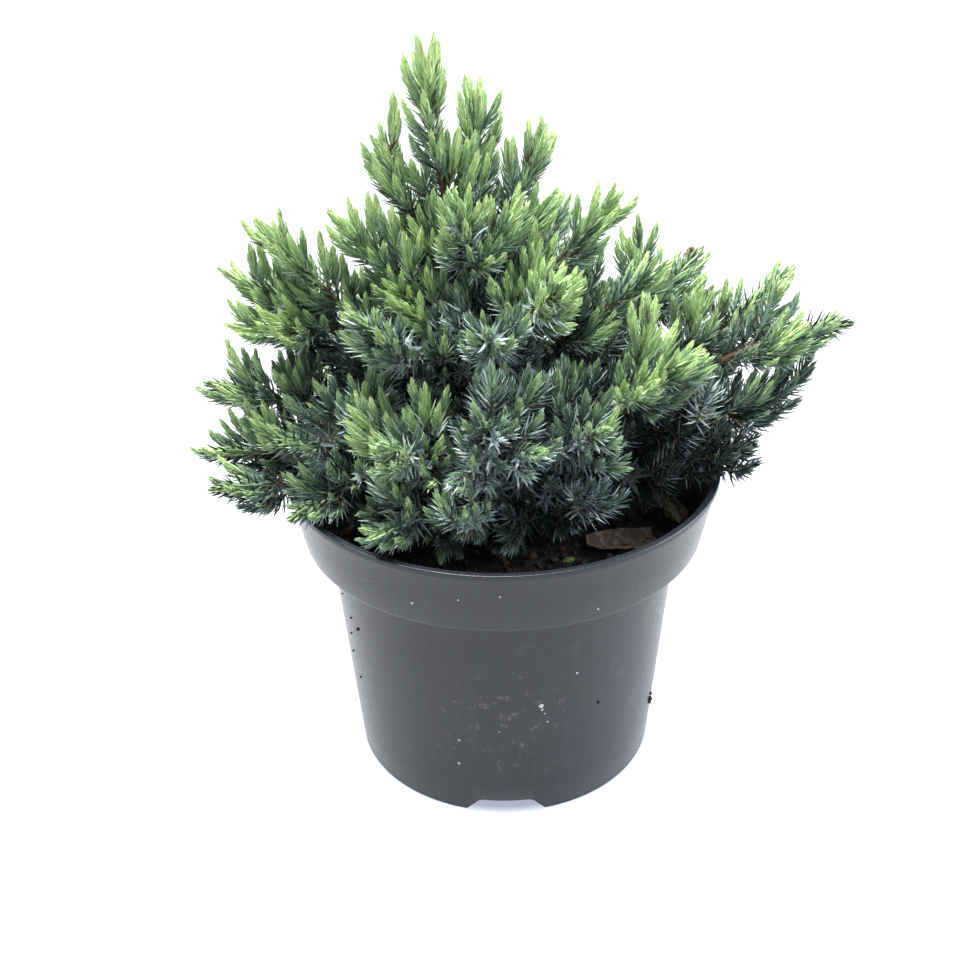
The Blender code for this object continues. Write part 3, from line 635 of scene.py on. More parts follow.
@dataclass
class Growth:
    """The seeded rule by which limbs, plumes and shoots grow, with the sizes that it works from."""

    gap: float = 0.0003
    soil_level: float = 0.0830
    soil_bumps: float = 0.0011
    inner_radius: float = 0.0590
    trunk_foot_radius: float = 0.0042
    trunk_flare: float = 0.0036
    flare_height: float = 0.0060
    trunk_top_radius: float = 0.0013
    trunk_top: Sequence[float] = (-0.0130, 0.0030, 0.1660)
    trunk_bend: Sequence[float] = (0.0080, 0.0040, 0.1220)
    bough_root_radius: float = 0.0023
    bough_tip_radius: float = 0.0012
    bough_sag: float = 0.10
    lowest_bough: float = 0.0890
    bough_rise: float = 0.42
    limb_tries: int = 25
    root_step: float = 0.0012
    share_step: float = 0.025
    stem_root_radius: float = 0.0011
    stem_tip_radius: float = 0.0007
    heart_radius: float = 0.0060
    hearts: Sequence[float] = (1.0, 0.8, 0.6, 0.4)
    heart_step: float = 0.2
    heart_into_leader: float = 0.80
    highest_share: float = 0.97
    shoots_each: int = 16
    golden_angle: float = math.radians(137.5)
    shoot_length: float = 0.0280
    leader_share: float = 0.95
    longest_shoot: float = 1.06
    shoot_shortens: float = 0.46
    narrow_length: float = 0.55
    shoot_reach: float = 0.0056
    shoot_bare: float = 0.27
    shoot_root: float = 0.0011
    least_reach: float = 0.12
    reach_from: float = 0.22
    reach_over: float = 0.72
    root_angle: float = math.radians(52)
    tip_angle: float = math.radians(28)
    first_shoot: float = 0.20
    last_shoot: float = 0.74
    lift: float = 0.40
    clearance: float = 0.0005
    own_crowding: float = 0.80
    tries: int = 10
    retry_turn: float = 1.1
    retry_shrinks: float = 0.05
    stray_angle: float = 0.3
    scales: Pair = (0.88, 1.08)
    seed: int = 41
    side_shoots: int = 8
    side_first: float = 0.14
    side_over: float = 0.52
    side_opening: float = 0.66
    side_closes: float = 0.26
    side_length: float = 0.72
    side_shortens: float = 0.28
    side_slender: float = 0.4
    inner_shoots: int = 30
    inner_first: float = 0.12
    inner_over: float = 0.80
    inner_opening: float = 0.9
    inner_closes: float = 0.3
    inner_lengths: Pair = (0.014, 0.023)
    bough_shoots: int = 36
    trunk_shoots: int = 48
    second_shoots: int = 3
    finest_marks: Sequence[float] = (0.45, 0.6, 0.75, 0.9, 1.0)
    finest_scales: Pair = (0.9, 1.1)
    finest_spacing: float = 0.0026
    finest_radius: float = 0.0022
    finest_stray: float = 0.0040
    finest_lift: float = 0.60
    finest_tries: int = 8
    limbs: Rows = field(default_factory=dict)
    boughs: dict[str, Limb] = field(default_factory=dict)
    stems: dict[str, "Stem"] = field(default_factory=dict)
    shoots: list[Shoot] = field(default_factory=list)
    space: np.ndarray = field(default_factory=lambda: np.empty((0, 4)))

    def grow(self) -> None:
        """Grow the limbs, then the shoots of the solids, then the finer ones among them."""
        self.grow_limbs()
        self.grow_shoots()
        self.grow_finer()

    def start_on(self, carrier: Limb, t: float, target: Vector, radius: float) -> Vector:
        """Return where a limb that grows from a carrier's side toward a target starts, just clear of it."""
        centre, along = carrier.at(t), carrier.along(t)
        heading = (target - centre).normalized()
        if t >= 1.0:
            widest = max(carrier.radius(t), radius)
            return centre + heading * (self.gap + widest * heading.cross(along).length)
        outward = (heading - along * heading.dot(along)).normalized()
        return centre + outward * (carrier.radius(t) + self.gap + radius * abs(heading.dot(along)))

    def first_clear(self, choices: Sequence[Limb], carrier_name: str) -> Limb:
        """Return the first limb that touches no other, or the last one where none is clear."""
        for limb in choices:
            spheres = limb.spheres()
            others = [taken for name, taken in self.limbs.items() if name != carrier_name]
            leaves_carrier = limb.goes_on or self.clear_of(spheres[2:], self.limbs[carrier_name])
            in_air = self.in_air(spheres[3:])
            if leaves_carrier and in_air and all(self.clear_of(spheres, taken) for taken in others):
                return limb
        return limb

    @staticmethod
    def side_steps(count: int, size: float) -> list[float]:
        """Return small steps to either side of zero, nearest first."""
        return [size * ((k + 1) // 2) * (-1) ** k for k in range(count)]

    def bough_from(self, plume: Plume, root_height: float) -> Limb:
        """Return the bough of a plume that leaves the trunk at a height."""
        tip = plume.tip()
        foot = self.soil_level + self.gap
        share = min(1.0, max(0.0, (root_height - foot) / (self.trunk_top[2] - foot)))
        start = self.start_on(self.trunk, share, tip, self.bough_root_radius)
        end = start.lerp(tip, plume.share)
        lift = UP * (self.bough_sag * (end - start).length)
        return Limb(start, start.lerp(end + lift, 0.5) + lift, end + lift, self.bough_root_radius,
                    self.bough_tip_radius)

    def stem_from(self, carrier: Limb, plume: Plume, share: float, fullness: float) -> "Stem":
        """Return the stem of a plume that leaves its carrier at a share of the carrier's length."""
        share = min(share, 1.0 if plume.share == 1.0 or plume.carrier == "own" else self.highest_share)
        tip = plume.tip()
        start = self.start_on(carrier, share, tip, self.stem_root_radius)
        bend = start.lerp(tip, 0.5) - UP * (plume.sag * (tip - start).length)
        stem = Stem(start, bend, tip, self.stem_root_radius, self.stem_tip_radius)
        stem.growth, stem.fullness, stem.goes_on = self, fullness, share == 1.0
        return stem

    def stem_choices(self, carrier: Limb, plume: Plume) -> list["Stem"]:
        """Return the stems that a plume may have, the fullest and the nearest to its place first."""
        if plume.carrier == "own" or plume.share == 1.0:
            return [self.stem_from(carrier, plume, 1.0, fullness) for fullness in self.hearts]
        choices = [(abs(step) / self.share_step + (1.0 - fullness) / self.heart_step, step, fullness)
                   for step in self.side_steps(self.limb_tries, self.share_step) for fullness in self.hearts]
        return [self.stem_from(carrier, plume, plume.share + step, fullness)
                for _, step, fullness in sorted(choices)]

    def grow_limbs(self) -> None:
        """Grow the trunk, the boughs and the plumes' stems."""
        foot = Vector((0.0, 0.0, self.soil_level + self.gap))
        self.trunk = Trunk(foot, self.trunk_bend, self.trunk_top, self.trunk_foot_radius,
                           self.trunk_top_radius)
        self.trunk.growth = self
        self.limbs["trunk"] = self.trunk.spheres(40)
        for plume in PLUMES:
            if plume.carrier == "own":
                rise = max(0.0, plume.height - self.lowest_bough)
                height = self.lowest_bough + self.bough_rise * rise * plume.share
                tries = [self.bough_from(plume, height + step)
                         for step in self.side_steps(self.limb_tries, self.root_step)]
                self.boughs[plume.name] = self.first_clear(tries, "trunk")
                self.limbs["bough_" + plume.name] = self.boughs[plume.name].spheres()
        for plume in PLUMES:
            bearer = plume.name if plume.carrier == "own" else plume.carrier
            on_trunk = bearer == "trunk"
            carrier_name = "trunk" if on_trunk else "bough_" + bearer
            tries = self.stem_choices(self.trunk if on_trunk else self.boughs[bearer], plume)
            self.stems[plume.name] = self.first_clear(tries, carrier_name)
            self.limbs[plume.name] = self.stems[plume.name].spheres()

    def reach_at(self, t: float) -> float:
        """Return how far the needles of a shoot of full size stand from its axis at t."""
        if t < self.shoot_bare:
            return self.shoot_root
        rest = (t - self.shoot_bare) / (1.0 - self.shoot_bare)
        swell = math.sin(math.pi * (self.reach_from + self.reach_over * rest))
        return self.shoot_reach * max(self.least_reach, swell)

    def shoot_spheres(self, shoot: Limb, scale: float) -> np.ndarray:
        """Return spheres that hold a shoot and its needles."""
        steps = np.linspace(self.shoot_bare + 0.04, 1.0, 7)
        return np.array([(*shoot.at(t), self.reach_at(t) * scale) for t in steps])

    def in_air(self, spheres: np.ndarray) -> bool:
        """Say whether spheres keep clear of the pot and the soil."""
        radial = np.hypot(spheres[:, 0], spheres[:, 1])
        height, radius = spheres[:, 2], spheres[:, 3] + self.clearance
        over_rim = height - radius > POT_HEIGHT
        inside = radial + radius < self.inner_radius
        outside = radial - radius > RIM_RADIUS
        over_soil = height - radius > self.soil_level + self.soil_bumps
        return bool(np.all(over_rim | (inside & over_soil) | outside))

    def clear_of(self, spheres: np.ndarray, taken: np.ndarray, share: float = 1.0) -> bool:
        """Say whether spheres keep clear of others, or overlap them no more than a share allows."""
        apart = np.linalg.norm(spheres[:, None, :3] - taken[None, :, :3], axis=2)
        return bool(np.all(apart > share * (spheres[:, None, 3] + taken[None, :, 3] + self.clearance)))

    def fits(self, spheres: np.ndarray, grown: Rows, owner: str) -> bool:
        """Say whether a shoot has room among the limbs and the shoots that are there."""
        if not self.in_air(spheres):
            return False
        for name, taken in self.limbs.items():
            if name != owner and not self.clear_of(spheres, taken):
                return False
        for name, taken in grown.items():
            if len(taken) and not self.clear_of(spheres, taken, self.own_crowding if name == owner else 1.0):
                return False
        return True

    def leader_of(self, stem: Limb) -> Limb:
        """Return the shoot at the end of a stem."""
        start = stem.at(1.0 - self.leader_share * self.shoot_length / stem.length())
        return Limb(start, start.lerp(stem.end, 0.5), stem.end, 0.0, 0.0)

    def lateral(self, stem: Limb, spread: float, share: float, angle: float, scale: float) -> Limb:
        """Return the shoot that leaves a stem at a share of its length, at an angle round it.

        Args:
            stem: the stem.
            spread: how far the plume spreads beside a full one, which also shortens its shoots.
            share: the share of the shoots that are nearer the stem's foot.
            angle: the angle round the stem.
            scale: the shoot's size beside a full one.

        Returns:
            The shoot.
        """
        t = self.first_shoot + (self.last_shoot - self.first_shoot) * share
        open_angle = spread * (self.root_angle + (self.tip_angle - self.root_angle) * share)
        fullness = self.narrow_length + (1.0 - self.narrow_length) * spread
        length = self.shoot_length * scale * fullness * (self.longest_shoot - self.shoot_shortens * share)
        return self.branch(stem, t, angle, open_angle, length, self.lift)

    @staticmethod
    def branch(carrier: Limb, t: float, angle: float, open_angle: float, length: float, lift: float) -> Limb:
        """Return a shoot that leaves a carrier at t and bends up towards the light."""
        along = carrier.along(t)
        across, upward = side_axes(along)
        sideways = across * math.cos(angle) + upward * math.sin(angle)
        heading = along * math.cos(open_angle) + sideways * math.sin(open_angle)
        start = carrier.at(t)
        end = start + (heading + UP * lift).normalized() * length
        return Limb(start, start + heading * (0.5 * length), end, 0.0, 0.0)

    def grow_shoots(self) -> None:
        """Deal the solids' own shoots to the plumes in turn, and skip each that has no room."""
        draws = np.random.default_rng(self.seed)
        grown: Rows = {}
        phases: dict[str, float] = {}
        for plume in PLUMES:
            leader = self.leader_of(self.stems[plume.name])
            self.shoots.append(Shoot(leader, 1.0, Order.LEADER, plume))
            grown[plume.name] = self.shoot_spheres(leader, 1.0)
            phases[plume.name] = draws.uniform(0.0, FULL_TURN)
        for k in range(self.shoots_each):
            for plume in PLUMES:
                for attempt in range(self.tries):
                    angle = (phases[plume.name] + self.golden_angle * k
                             + draws.uniform(-self.stray_angle, self.stray_angle) + self.retry_turn * attempt)
                    scale = draws.uniform(*self.scales) * (1.0 - self.retry_shrinks * attempt)
                    share = (k + 0.5) / self.shoots_each
                    shoot = self.lateral(self.stems[plume.name], plume.spread, share, angle, scale)
                    spheres = self.shoot_spheres(shoot, scale)
                    if self.fits(spheres, grown, plume.name):
                        self.shoots.append(Shoot(shoot, scale, Order.LATERAL, plume))
                        grown[plume.name] = np.vstack((grown[plume.name], spheres))
                        break

    def finest_points(self, shoot: Limb) -> list[Vector]:
        """Return points along the outer part of a shoot's axis."""
        return [shoot.at(t) for t in self.finest_marks]

    def grow_finer(self) -> None:
        """Grow finer shoots on the shoots, the stems, the boughs and the trunk, wherever there is room."""
        draws = np.random.default_rng(self.seed + 1)
        first = list(self.shoots)
        self.space = np.vstack([self.shoot_spheres(shoot.curve, shoot.scale) for shoot in first]
                               + [stem.spheres() for stem in self.stems.values()])
        self.crowd = Crowd(self.finest_spacing)
        for shoot in first:
            self.crowd.add(self.finest_points(shoot.curve))
        self.grow_sides(first, self.side_shoots, draws)
        by_name = {plume.name: plume for plume in PLUMES}
        carriers = [(stem, self.inner_shoots, by_name[name]) for name, stem in self.stems.items()]
        carriers += [(bough, self.bough_shoots, by_name[name]) for name, bough in self.boughs.items()]
        carriers += [(self.trunk, self.trunk_shoots, by_name["spire"])]
        inner_from = len(self.shoots)
        for limb, count, plume in carriers:
            for k in range(count):
                share = (k + 0.5) / count
                open_angle = self.inner_opening - self.inner_closes * share
                length = draws.uniform(*self.inner_lengths)
                self.try_finer(limb, self.inner_first + self.inner_over * share, open_angle, length, k,
                               Order.INNER, plume, draws)
        self.grow_sides(self.shoots[inner_from:], self.second_shoots, draws)

    def grow_sides(self, carriers: Sequence[Shoot], count: int, draws: Draws) -> None:
        """Grow side shoots on each of some shoots, long near its foot and short near its tip."""
        for k in range(count):
            share = (k + 0.5) / count
            for shoot in carriers:
                slender = self.side_slender + (1.0 - self.side_slender) * min(1.0, shoot.plume.spread)
                open_angle = (self.side_opening - self.side_closes * share) * slender
                length = shoot.curve.length() * (self.side_length - self.side_shortens * share)
                self.try_finer(shoot.curve, self.side_first + self.side_over * share, open_angle, length, k,
                               Order.SIDE, shoot.plume, draws)

    def try_finer(self, carrier: Limb, t: float, open_angle: float, length: float, turn: int, order: Order,
                  plume: Plume, draws: Draws) -> None:
        """Add one finer shoot if one of a few tries has room.

        Args:
            carrier: the limb that it leaves.
            t: the share of the carrier's length at which it leaves.
            open_angle: the angle between the two.
            length: its length.
            turn: its number on the carrier, which turns it round by the golden angle.
            order: its kind.
            plume: the plume that it belongs to.
            draws: the random draws.
        """
        phase = draws.uniform(0.0, FULL_TURN)
        for attempt in range(self.finest_tries):
            angle = phase + self.golden_angle * turn + self.retry_turn * attempt
            scaled = length * draws.uniform(*self.finest_scales)
            shoot = self.branch(carrier, t, angle, open_angle, scaled, self.finest_lift)
            points = self.finest_points(shoot)
            if all(self.crowd.has_room(point) for point in points) and self.keeps_near(shoot.end):
                if self.in_air(np.array([(*point, self.finest_radius) for point in points])):
                    self.shoots.append(Shoot(shoot, length / self.shoot_length, order, plume))
                    self.crowd.add(points)
                    return

    def keeps_near(self, tip: Vector) -> bool:
        """Say whether a fine shoot's tip keeps to the space of the solids' shoots."""
        beyond = np.linalg.norm(self.space[:, :3] - np.array(tip[:]), axis=1) - self.space[:, 3]
        return bool(beyond.min() < self.finest_stray)


class Trunk(Limb):
    """The trunk, which widens into a root flare where it leaves the soil."""

    growth: Growth

    def radius(self, t: float) -> float:
        """Return the radius at t, with the flare near the foot."""
        rise = (self.at(t).z - self.start.z) / self.growth.flare_height
        return super().radius(t) + self.growth.trunk_flare * math.exp(-2.0 * rise)


class Stem(Limb):
    """The stem of a plume, which ends in its leading shoot."""

    growth: Growth
    fullness = 1.0
    heart_stops = 0.95
    heart_power = 0.8

    def spheres(self, count: int = 12) -> np.ndarray:
        """Return spheres that hold the stem, its dense heart and its leading shoot."""
        rule = self.growth
        heart_end = 1.0 - rule.heart_into_leader * rule.shoot_length / self.length()
        rows = []
        for share in (k / count for k in range(count + 1)):
            swell = 0.0
            if share < self.heart_stops:
                swell = math.sin(math.pi * (share / self.heart_stops)) ** self.heart_power
            plain = rule.stem_root_radius + (rule.stem_tip_radius - rule.stem_root_radius) * share
            rows.append((*self.at(heart_end * share), max(plain, rule.heart_radius * self.fullness * swell)))
        return np.vstack((np.array(rows), rule.shoot_spheres(rule.leader_of(self), 1.0)))


@dataclass(frozen=True)
class Tint:
    """The colours of a needle: its green outer sides and its bloomed inner side."""

    name: str
    outer: Colour
    inner: Colour
    dulness: float = 0.5


TINTS = (
    Tint("dead", (0.095, 0.060, 0.036), (0.16, 0.115, 0.075), 0.8),
    # The deep tint is near black: painted shade for the needles that get the least light deep in the crown.
    Tint("deep", (0.005, 0.011, 0.009), (0.030, 0.044, 0.045), 0.6),
    Tint("old_blue", (0.015, 0.033, 0.028), (0.18, 0.245, 0.26), 0.55),
    Tint("blue", (0.038, 0.075, 0.060), (0.46, 0.58, 0.60), 0.5),
    Tint("sea_green", (0.094, 0.165, 0.114), (0.60, 0.74, 0.71), 0.5),
    Tint("green", (0.185, 0.292, 0.150), (0.60, 0.74, 0.60), 0.48),
    Tint("fresh", (0.305, 0.450, 0.202), (0.55, 0.69, 0.47), 0.46),
    Tint("lime", (0.430, 0.588, 0.255), (0.65, 0.78, 0.49), 0.45),
)

# The least freshness of each tint after the dead and the deep one
TINT_STEPS = (0.09, 0.20, 0.33, 0.47, 0.62, 0.80)

# The heights of a plume's tip at which the top of the crown and the high masses begin
TOP_FROM = 0.178
HIGH_FROM = 0.130


class Region(Enum):
    """The parts of the crown that the needles are joined by."""

    TOP = "top"
    LEFT_HIGH = "left_high"
    LEFT_LOW = "left_low"
    FRONT_HIGH = "front_high"
    FRONT_LOW = "front_low"
    RIGHT_HIGH = "right_high"
    RIGHT_LOW = "right_low"
    BACK_HIGH = "back_high"
    BACK_LOW = "back_low"

    @classmethod
    def of(cls, plume: Plume) -> "Region":
        """Return the region of a plume."""
        if plume.height > TOP_FROM:
            return cls.TOP
        quarter = ("RIGHT", "BACK", "LEFT", "FRONT")[int(((plume.azimuth + 45) % 360) // 90)]
        return cls[quarter + ("_HIGH" if plume.height > HIGH_FROM else "_LOW")]


@dataclass
class Foliage:
    """The needles and the twigs that carry them, dealt along the shoots in whorls of three."""

    growth: Growth
    needle_length: float = 0.0071
    needle_width: float = 0.00108
    needle_thickness: float = 0.00045
    whorl_spacing: float = 0.00090
    whorl_size: int = 3
    whorl_stray: float = 0.22
    whorl_power: float = 0.84
    least_whorls: int = 4
    first_whorl: float = 0.08
    stem_first_whorl: float = 0.22
    stem_spacing: float = 1.3
    rings: Sequence[Pair] = ((0.0, 0.55), (0.38, 1.0))
    light_from: Sequence[float] = (-0.35, -0.30, 0.89)
    shade_near: float = 0.004
    shade_far: float = 0.030
    shade_cone: float = 0.75
    shade_count: float = 24.0
    shaded_youth: float = 0.40
    crown_foot: float = 0.095
    crown_rise: float = 0.110
    least_youth: float = 0.40
    youth_of_height: float = 0.52
    youth_upward: float = 0.20
    youth_stray: float = 0.13
    last_whorl: float = 0.0024
    bud_opening: float = math.radians(4)
    foot_opening: float = math.radians(60)
    old_opening: float = math.radians(32)
    opening_stray: float = 0.06
    loosest: float = 1.26
    youth_closes: float = 0.72
    leader_closes: float = 0.86
    bud_tip: float = 0.0040
    opens_over: float = 0.0180
    bends_over: float = 0.0090
    bends: Pair = (0.10, 0.42)
    bud_bend: float = 0.45
    sideways: float = 0.10
    full_from: float = 0.0086
    least_length: float = 0.25
    short_shoot: float = 0.66
    length_gain: float = 0.42
    length_scales: Pair = (0.88, 1.10)
    tip_width: float = 0.36
    foot_width: float = 0.56
    width_gain: float = 0.50
    width_scales: Pair = (0.85, 1.12)
    foot_fresh: float = 0.28
    fresh_gain: float = 0.84
    fresh_stray: float = 0.065
    dead_below: float = 0.34
    dead_share: float = 0.10
    twig_sides: int = 4
    twig_rings: int = 5
    twig_root: float = 0.00062
    twig_least: float = 0.6
    twig_end: float = 0.80
    twig_taper: float = 0.6
    seed: int = 7

    def needle(self) -> Template:
        """Model one needle along +Z with its inner side toward +Y: a keeled blade that tapers to a point."""
        bm = bmesh.new()
        ring = bmesh.ops.create_circle(bm, segments=3, radius=0.5)["verts"]
        shape = ((-0.5, 0.0), (0.5, 0.0), (0.0, -1.0))
        bm.faces.new(ring)
        edges = list(bm.edges)
        for k, (share, width) in enumerate(self.rings):
            if k:
                grown = bmesh.ops.extrude_edge_only(bm, edges=edges)["geom"]
                edges = [item for item in grown if isinstance(item, BMEdge)]
                ring = self.in_order([item for item in grown if isinstance(item, BMVert)], shape)
            for vert, (across, deep) in zip(ring, shape):
                vert.co = (across * width, deep * width, share)
        grown = bmesh.ops.extrude_edge_only(bm, edges=edges)["geom"]
        tip = [item for item in grown if isinstance(item, BMVert)]
        bmesh.ops.pointmerge(bm, verts=tip, merge_co=(0.0, 0.0, 1.0))
        bmesh.ops.recalc_face_normals(bm, faces=bm.faces)
        for face in bm.faces:
            face.material_index = 1 if face.normal.y > 0.5 else 0
        return Template.of(bm)

    @staticmethod
    def in_order(verts: Sequence[BMVert], shape: Sequence[Pair]) -> list[BMVert]:
        """Return a ring's new corners in the order of the corners of its shape."""
        return [max(verts, key=lambda vert: Vector(vert.co.xy).normalized().dot(
            Vector((x, y + 0.3)).normalized())) for x, y in shape]

    def light_on(self, shoots: Sequence[Shoot]) -> np.ndarray:
        """Return how much light reaches each shoot's tip past the others, from 0 deep in the crown to 1."""
        tips = np.array([shoot.curve.end[:] for shoot in shoots])
        toward_light = np.array(self.light_from) / np.linalg.norm(self.light_from)
        shares = []
        for tip in tips:
            away = tips - tip
            far = np.linalg.norm(away, axis=1)
            near = (far > self.shade_near) & (far < self.shade_far)
            shading = near & (away @ toward_light > self.shade_cone * far)
            shares.append(math.exp(-np.count_nonzero(shading) / self.shade_count))
        return np.array(shares)

    def youth_and_light(self, shoot: Shoot, light: float, draws: Draws) -> float:
        """Return how fresh a shoot's tip looks, near 1 for a high, upward, leading and lit one; its height,
        its light and its plume's tone also paint light and shade into its tints.
        """
        height = (shoot.curve.end.z - self.crown_foot) / self.crown_rise
        upward = shoot.curve.along(1.0).z
        # Height lifts high shoots toward the fresh tints: partly the young growth at the top, partly painted
        # light from above.
        young = (self.least_youth + self.youth_of_height * height + self.youth_upward * upward
                 + shoot.order.value + draws.uniform(-self.youth_stray, self.youth_stray))
        # Shoots that get less light past the others are set back toward the dark tints: painted shade deep in
        # the crown.
        lit = self.shaded_youth + (1.0 - self.shaded_youth) * light
        return young * lit + shoot.plume.tone

    @staticmethod
    def age(youth_and_light: float) -> float:
        """Return how old a shoot looks, from 0 where its youth is over 0.55 to 1 where it is under 0.05."""
        return 1.0 - min(1.0, max(0.0, 2.0 * youth_and_light - 0.1))

    def whorls(self, shoot: Shoot, draws: Draws) -> Rows:
        """Deal whorls along one shoot.

        Args:
            shoot: the shoot.
            draws: the random draws.

        Returns:
            Arrays with a row for each needle: its share of the way along, where it grows from, the shoot's
            direction there and its own direction outward.
        """
        curve, length = shoot.curve, shoot.curve.length()
        on_stem = shoot.order is Order.STEM
        first, last = self.stem_first_whorl if on_stem else self.first_whorl, 1.0 - self.last_whorl / length
        spacing = self.whorl_spacing * (self.stem_spacing if on_stem else 1.0)
        whorls = max(self.least_whorls, int(length * (last - first) / spacing))
        rest = (np.arange(whorls) + 0.5) / whorls
        t = np.repeat(first + (last - first) * rest ** self.whorl_power, self.whorl_size)
        centres = np.array([curve.at(s)[:] for s in t[::self.whorl_size]]).repeat(self.whorl_size, 0)
        axes = np.array([curve.along(s)[:] for s in t[::self.whorl_size]]).repeat(self.whorl_size, 0)
        across, upward = (np.array(axis[:]) for axis in side_axes(curve.along(0.5)))
        turn = (np.arange(len(t)) // self.whorl_size) * (math.pi / 3) + draws.uniform(0, FULL_TURN)
        angle = turn + (np.arange(len(t)) % self.whorl_size) * (FULL_TURN / self.whorl_size)
        angle += draws.uniform(-self.whorl_stray, self.whorl_stray, len(t))
        radial = across * np.cos(angle)[:, None] + upward * np.sin(angle)[:, None]
        radial -= axes * np.sum(radial * axes, 1)[:, None]
        radial /= np.linalg.norm(radial, axis=1)[:, None]
        return {"t": t, "root": centres, "axis": axes, "radial": radial}

    def along_shoot(self, shoot: Shoot, light: float, draws: Draws) -> Rows:
        """Deal needles along one shoot: closed over its bud and opening toward its foot.

        Args:
            shoot: the shoot.
            light: how much light reaches it.
            draws: the random draws.

        Returns:
            The whorls' arrays and each needle's opening, bend, length, width and freshness.
        """
        rows = self.whorls(shoot, draws)
        t, length = rows["t"], shoot.curve.length()
        youth_and_light = self.youth_and_light(shoot, light, draws)
        closing = self.loosest - self.youth_closes * np.clip(youth_and_light, 0.0, 1.0)
        closing *= self.leader_closes if shoot.order is Order.LEADER else 1.0
        from_end = (1.0 - t) * length
        behind_tip = np.maximum(0.0, from_end - self.bud_tip)
        opening = self.bud_opening + self.foot_opening * np.minimum(1.0, behind_tip / self.opens_over)
        age = self.age(youth_and_light)
        spread = self.old_opening * age * np.minimum(1.0, from_end / self.bends_over)
        rows["open"] = opening * closing + spread + draws.normal(0.0, self.opening_stray, len(t))
        closed = np.maximum(0.0, 1.0 - (1.0 + age) * behind_tip / self.bends_over)
        rows["bend"] = draws.uniform(*self.bends, len(t)) + self.bud_bend * closed
        size = min(1.0, self.short_shoot + self.length_gain * length / self.growth.shoot_length)
        grown = np.minimum(1.0, self.least_length + (1.0 - self.least_length) * from_end / self.full_from)
        rows["length"] = self.needle_length * size * grown * draws.uniform(*self.length_scales, len(t))
        slim = np.minimum(1.0, self.tip_width + (1.0 - self.tip_width) * from_end / self.full_from)
        wide = self.needle_width * (self.foot_width + self.width_gain * t)
        rows["width"] = wide * draws.uniform(*self.width_scales, len(t)) * slim
        rows["fresh"] = youth_and_light * (self.foot_fresh + self.fresh_gain * t)
        rows["fresh"] += draws.normal(0.0, self.fresh_stray, len(t))
        return rows

    def placed(self, needle: Template, rows: Rows, draws: Draws) -> np.ndarray:
        """Return the corners of each needle, which bends back in toward its shoot."""
        count = len(rows["open"])
        axis, radial, bend = rows["axis"], rows["radial"], rows["bend"]
        tangent = np.cross(axis, radial)
        sway = draws.normal(0.0, self.sideways, count)
        u, v, s = (needle.corners[:, k] for k in range(3))
        opening = rows["open"][:, None] + bend[:, None] * (0.5 - s[None])
        start = self.heading(axis, radial, rows["open"] + bend / 2)
        end = self.heading(axis, radial, rows["open"] - bend / 2) + tangent * sway[:, None]
        half = s ** 2 / 2
        reach = start[:, None] * (s - half)[None, :, None] + end[:, None] * half[None, :, None]
        centre = rows["root"][:, None] + reach * rows["length"][:, None, None]
        inward = axis[:, None] * np.sin(opening)[..., None] - radial[:, None] * np.cos(opening)[..., None]
        across = tangent[:, None] * (u[None] * rows["width"][:, None])[..., None]
        deep = inward * (v[None] * self.needle_thickness)[..., None]
        return centre + across + deep

    @staticmethod
    def heading(axis: np.ndarray, radial: np.ndarray, opening: np.ndarray) -> np.ndarray:
        """Return directions that open from an axis by an angle."""
        return axis * np.cos(opening)[:, None] + radial * np.sin(opening)[:, None]

    def tint_numbers(self, fresh: np.ndarray, t: np.ndarray, draws: Draws) -> np.ndarray:
        """Return each needle's tint by its freshness, which carries the painted light and shade, with a few
        dead ones at the foot of the shoot.
        """
        numbers = 1 + np.digitize(fresh, TINT_STEPS)
        dead = (t < self.dead_below) & (draws.random(len(t)) < self.dead_share)
        numbers[dead] = 0
        return numbers

    def twig_block(self, shoots: Sequence[Shoot]) -> Block:
        """Return the corners and faces of the twigs under the shoots, each a closed tapering tube."""
        rings, sides = self.twig_rings, self.twig_sides
        blocks = []
        for shoot in shoots:
            root = self.twig_root * max(self.twig_least, shoot.scale)
            rows = []
            for t in np.linspace(0.0, self.twig_end, rings):
                across, upward = side_axes(shoot.curve.along(t))
                centre, radius = shoot.curve.at(t), root * (1.0 - self.twig_taper * t)
                rows += [(centre + (across * math.cos(a) + upward * math.sin(a)) * radius)[:]
                         for a in (FULL_TURN * j / sides for j in range(sides))]
            blocks.append(rows)
        faces = []
        for k, j in product(range(rings - 1), range(sides)):
            low, high, turned = k * sides, (k + 1) * sides, (j + 1) % sides
            faces += [(low + j, low + turned, high + turned), (low + j, high + turned, high + j)]
        last = (rings - 1) * sides
        faces += [(0, j + 1, j) for j in range(1, sides - 1)]
        faces += [(last, last + j, last + j + 1) for j in range(1, sides - 1)]
        tube = Template(np.zeros((rings * sides, 3)), np.array(faces), np.zeros(len(faces), int))
        return tube.copies(np.array(blocks))

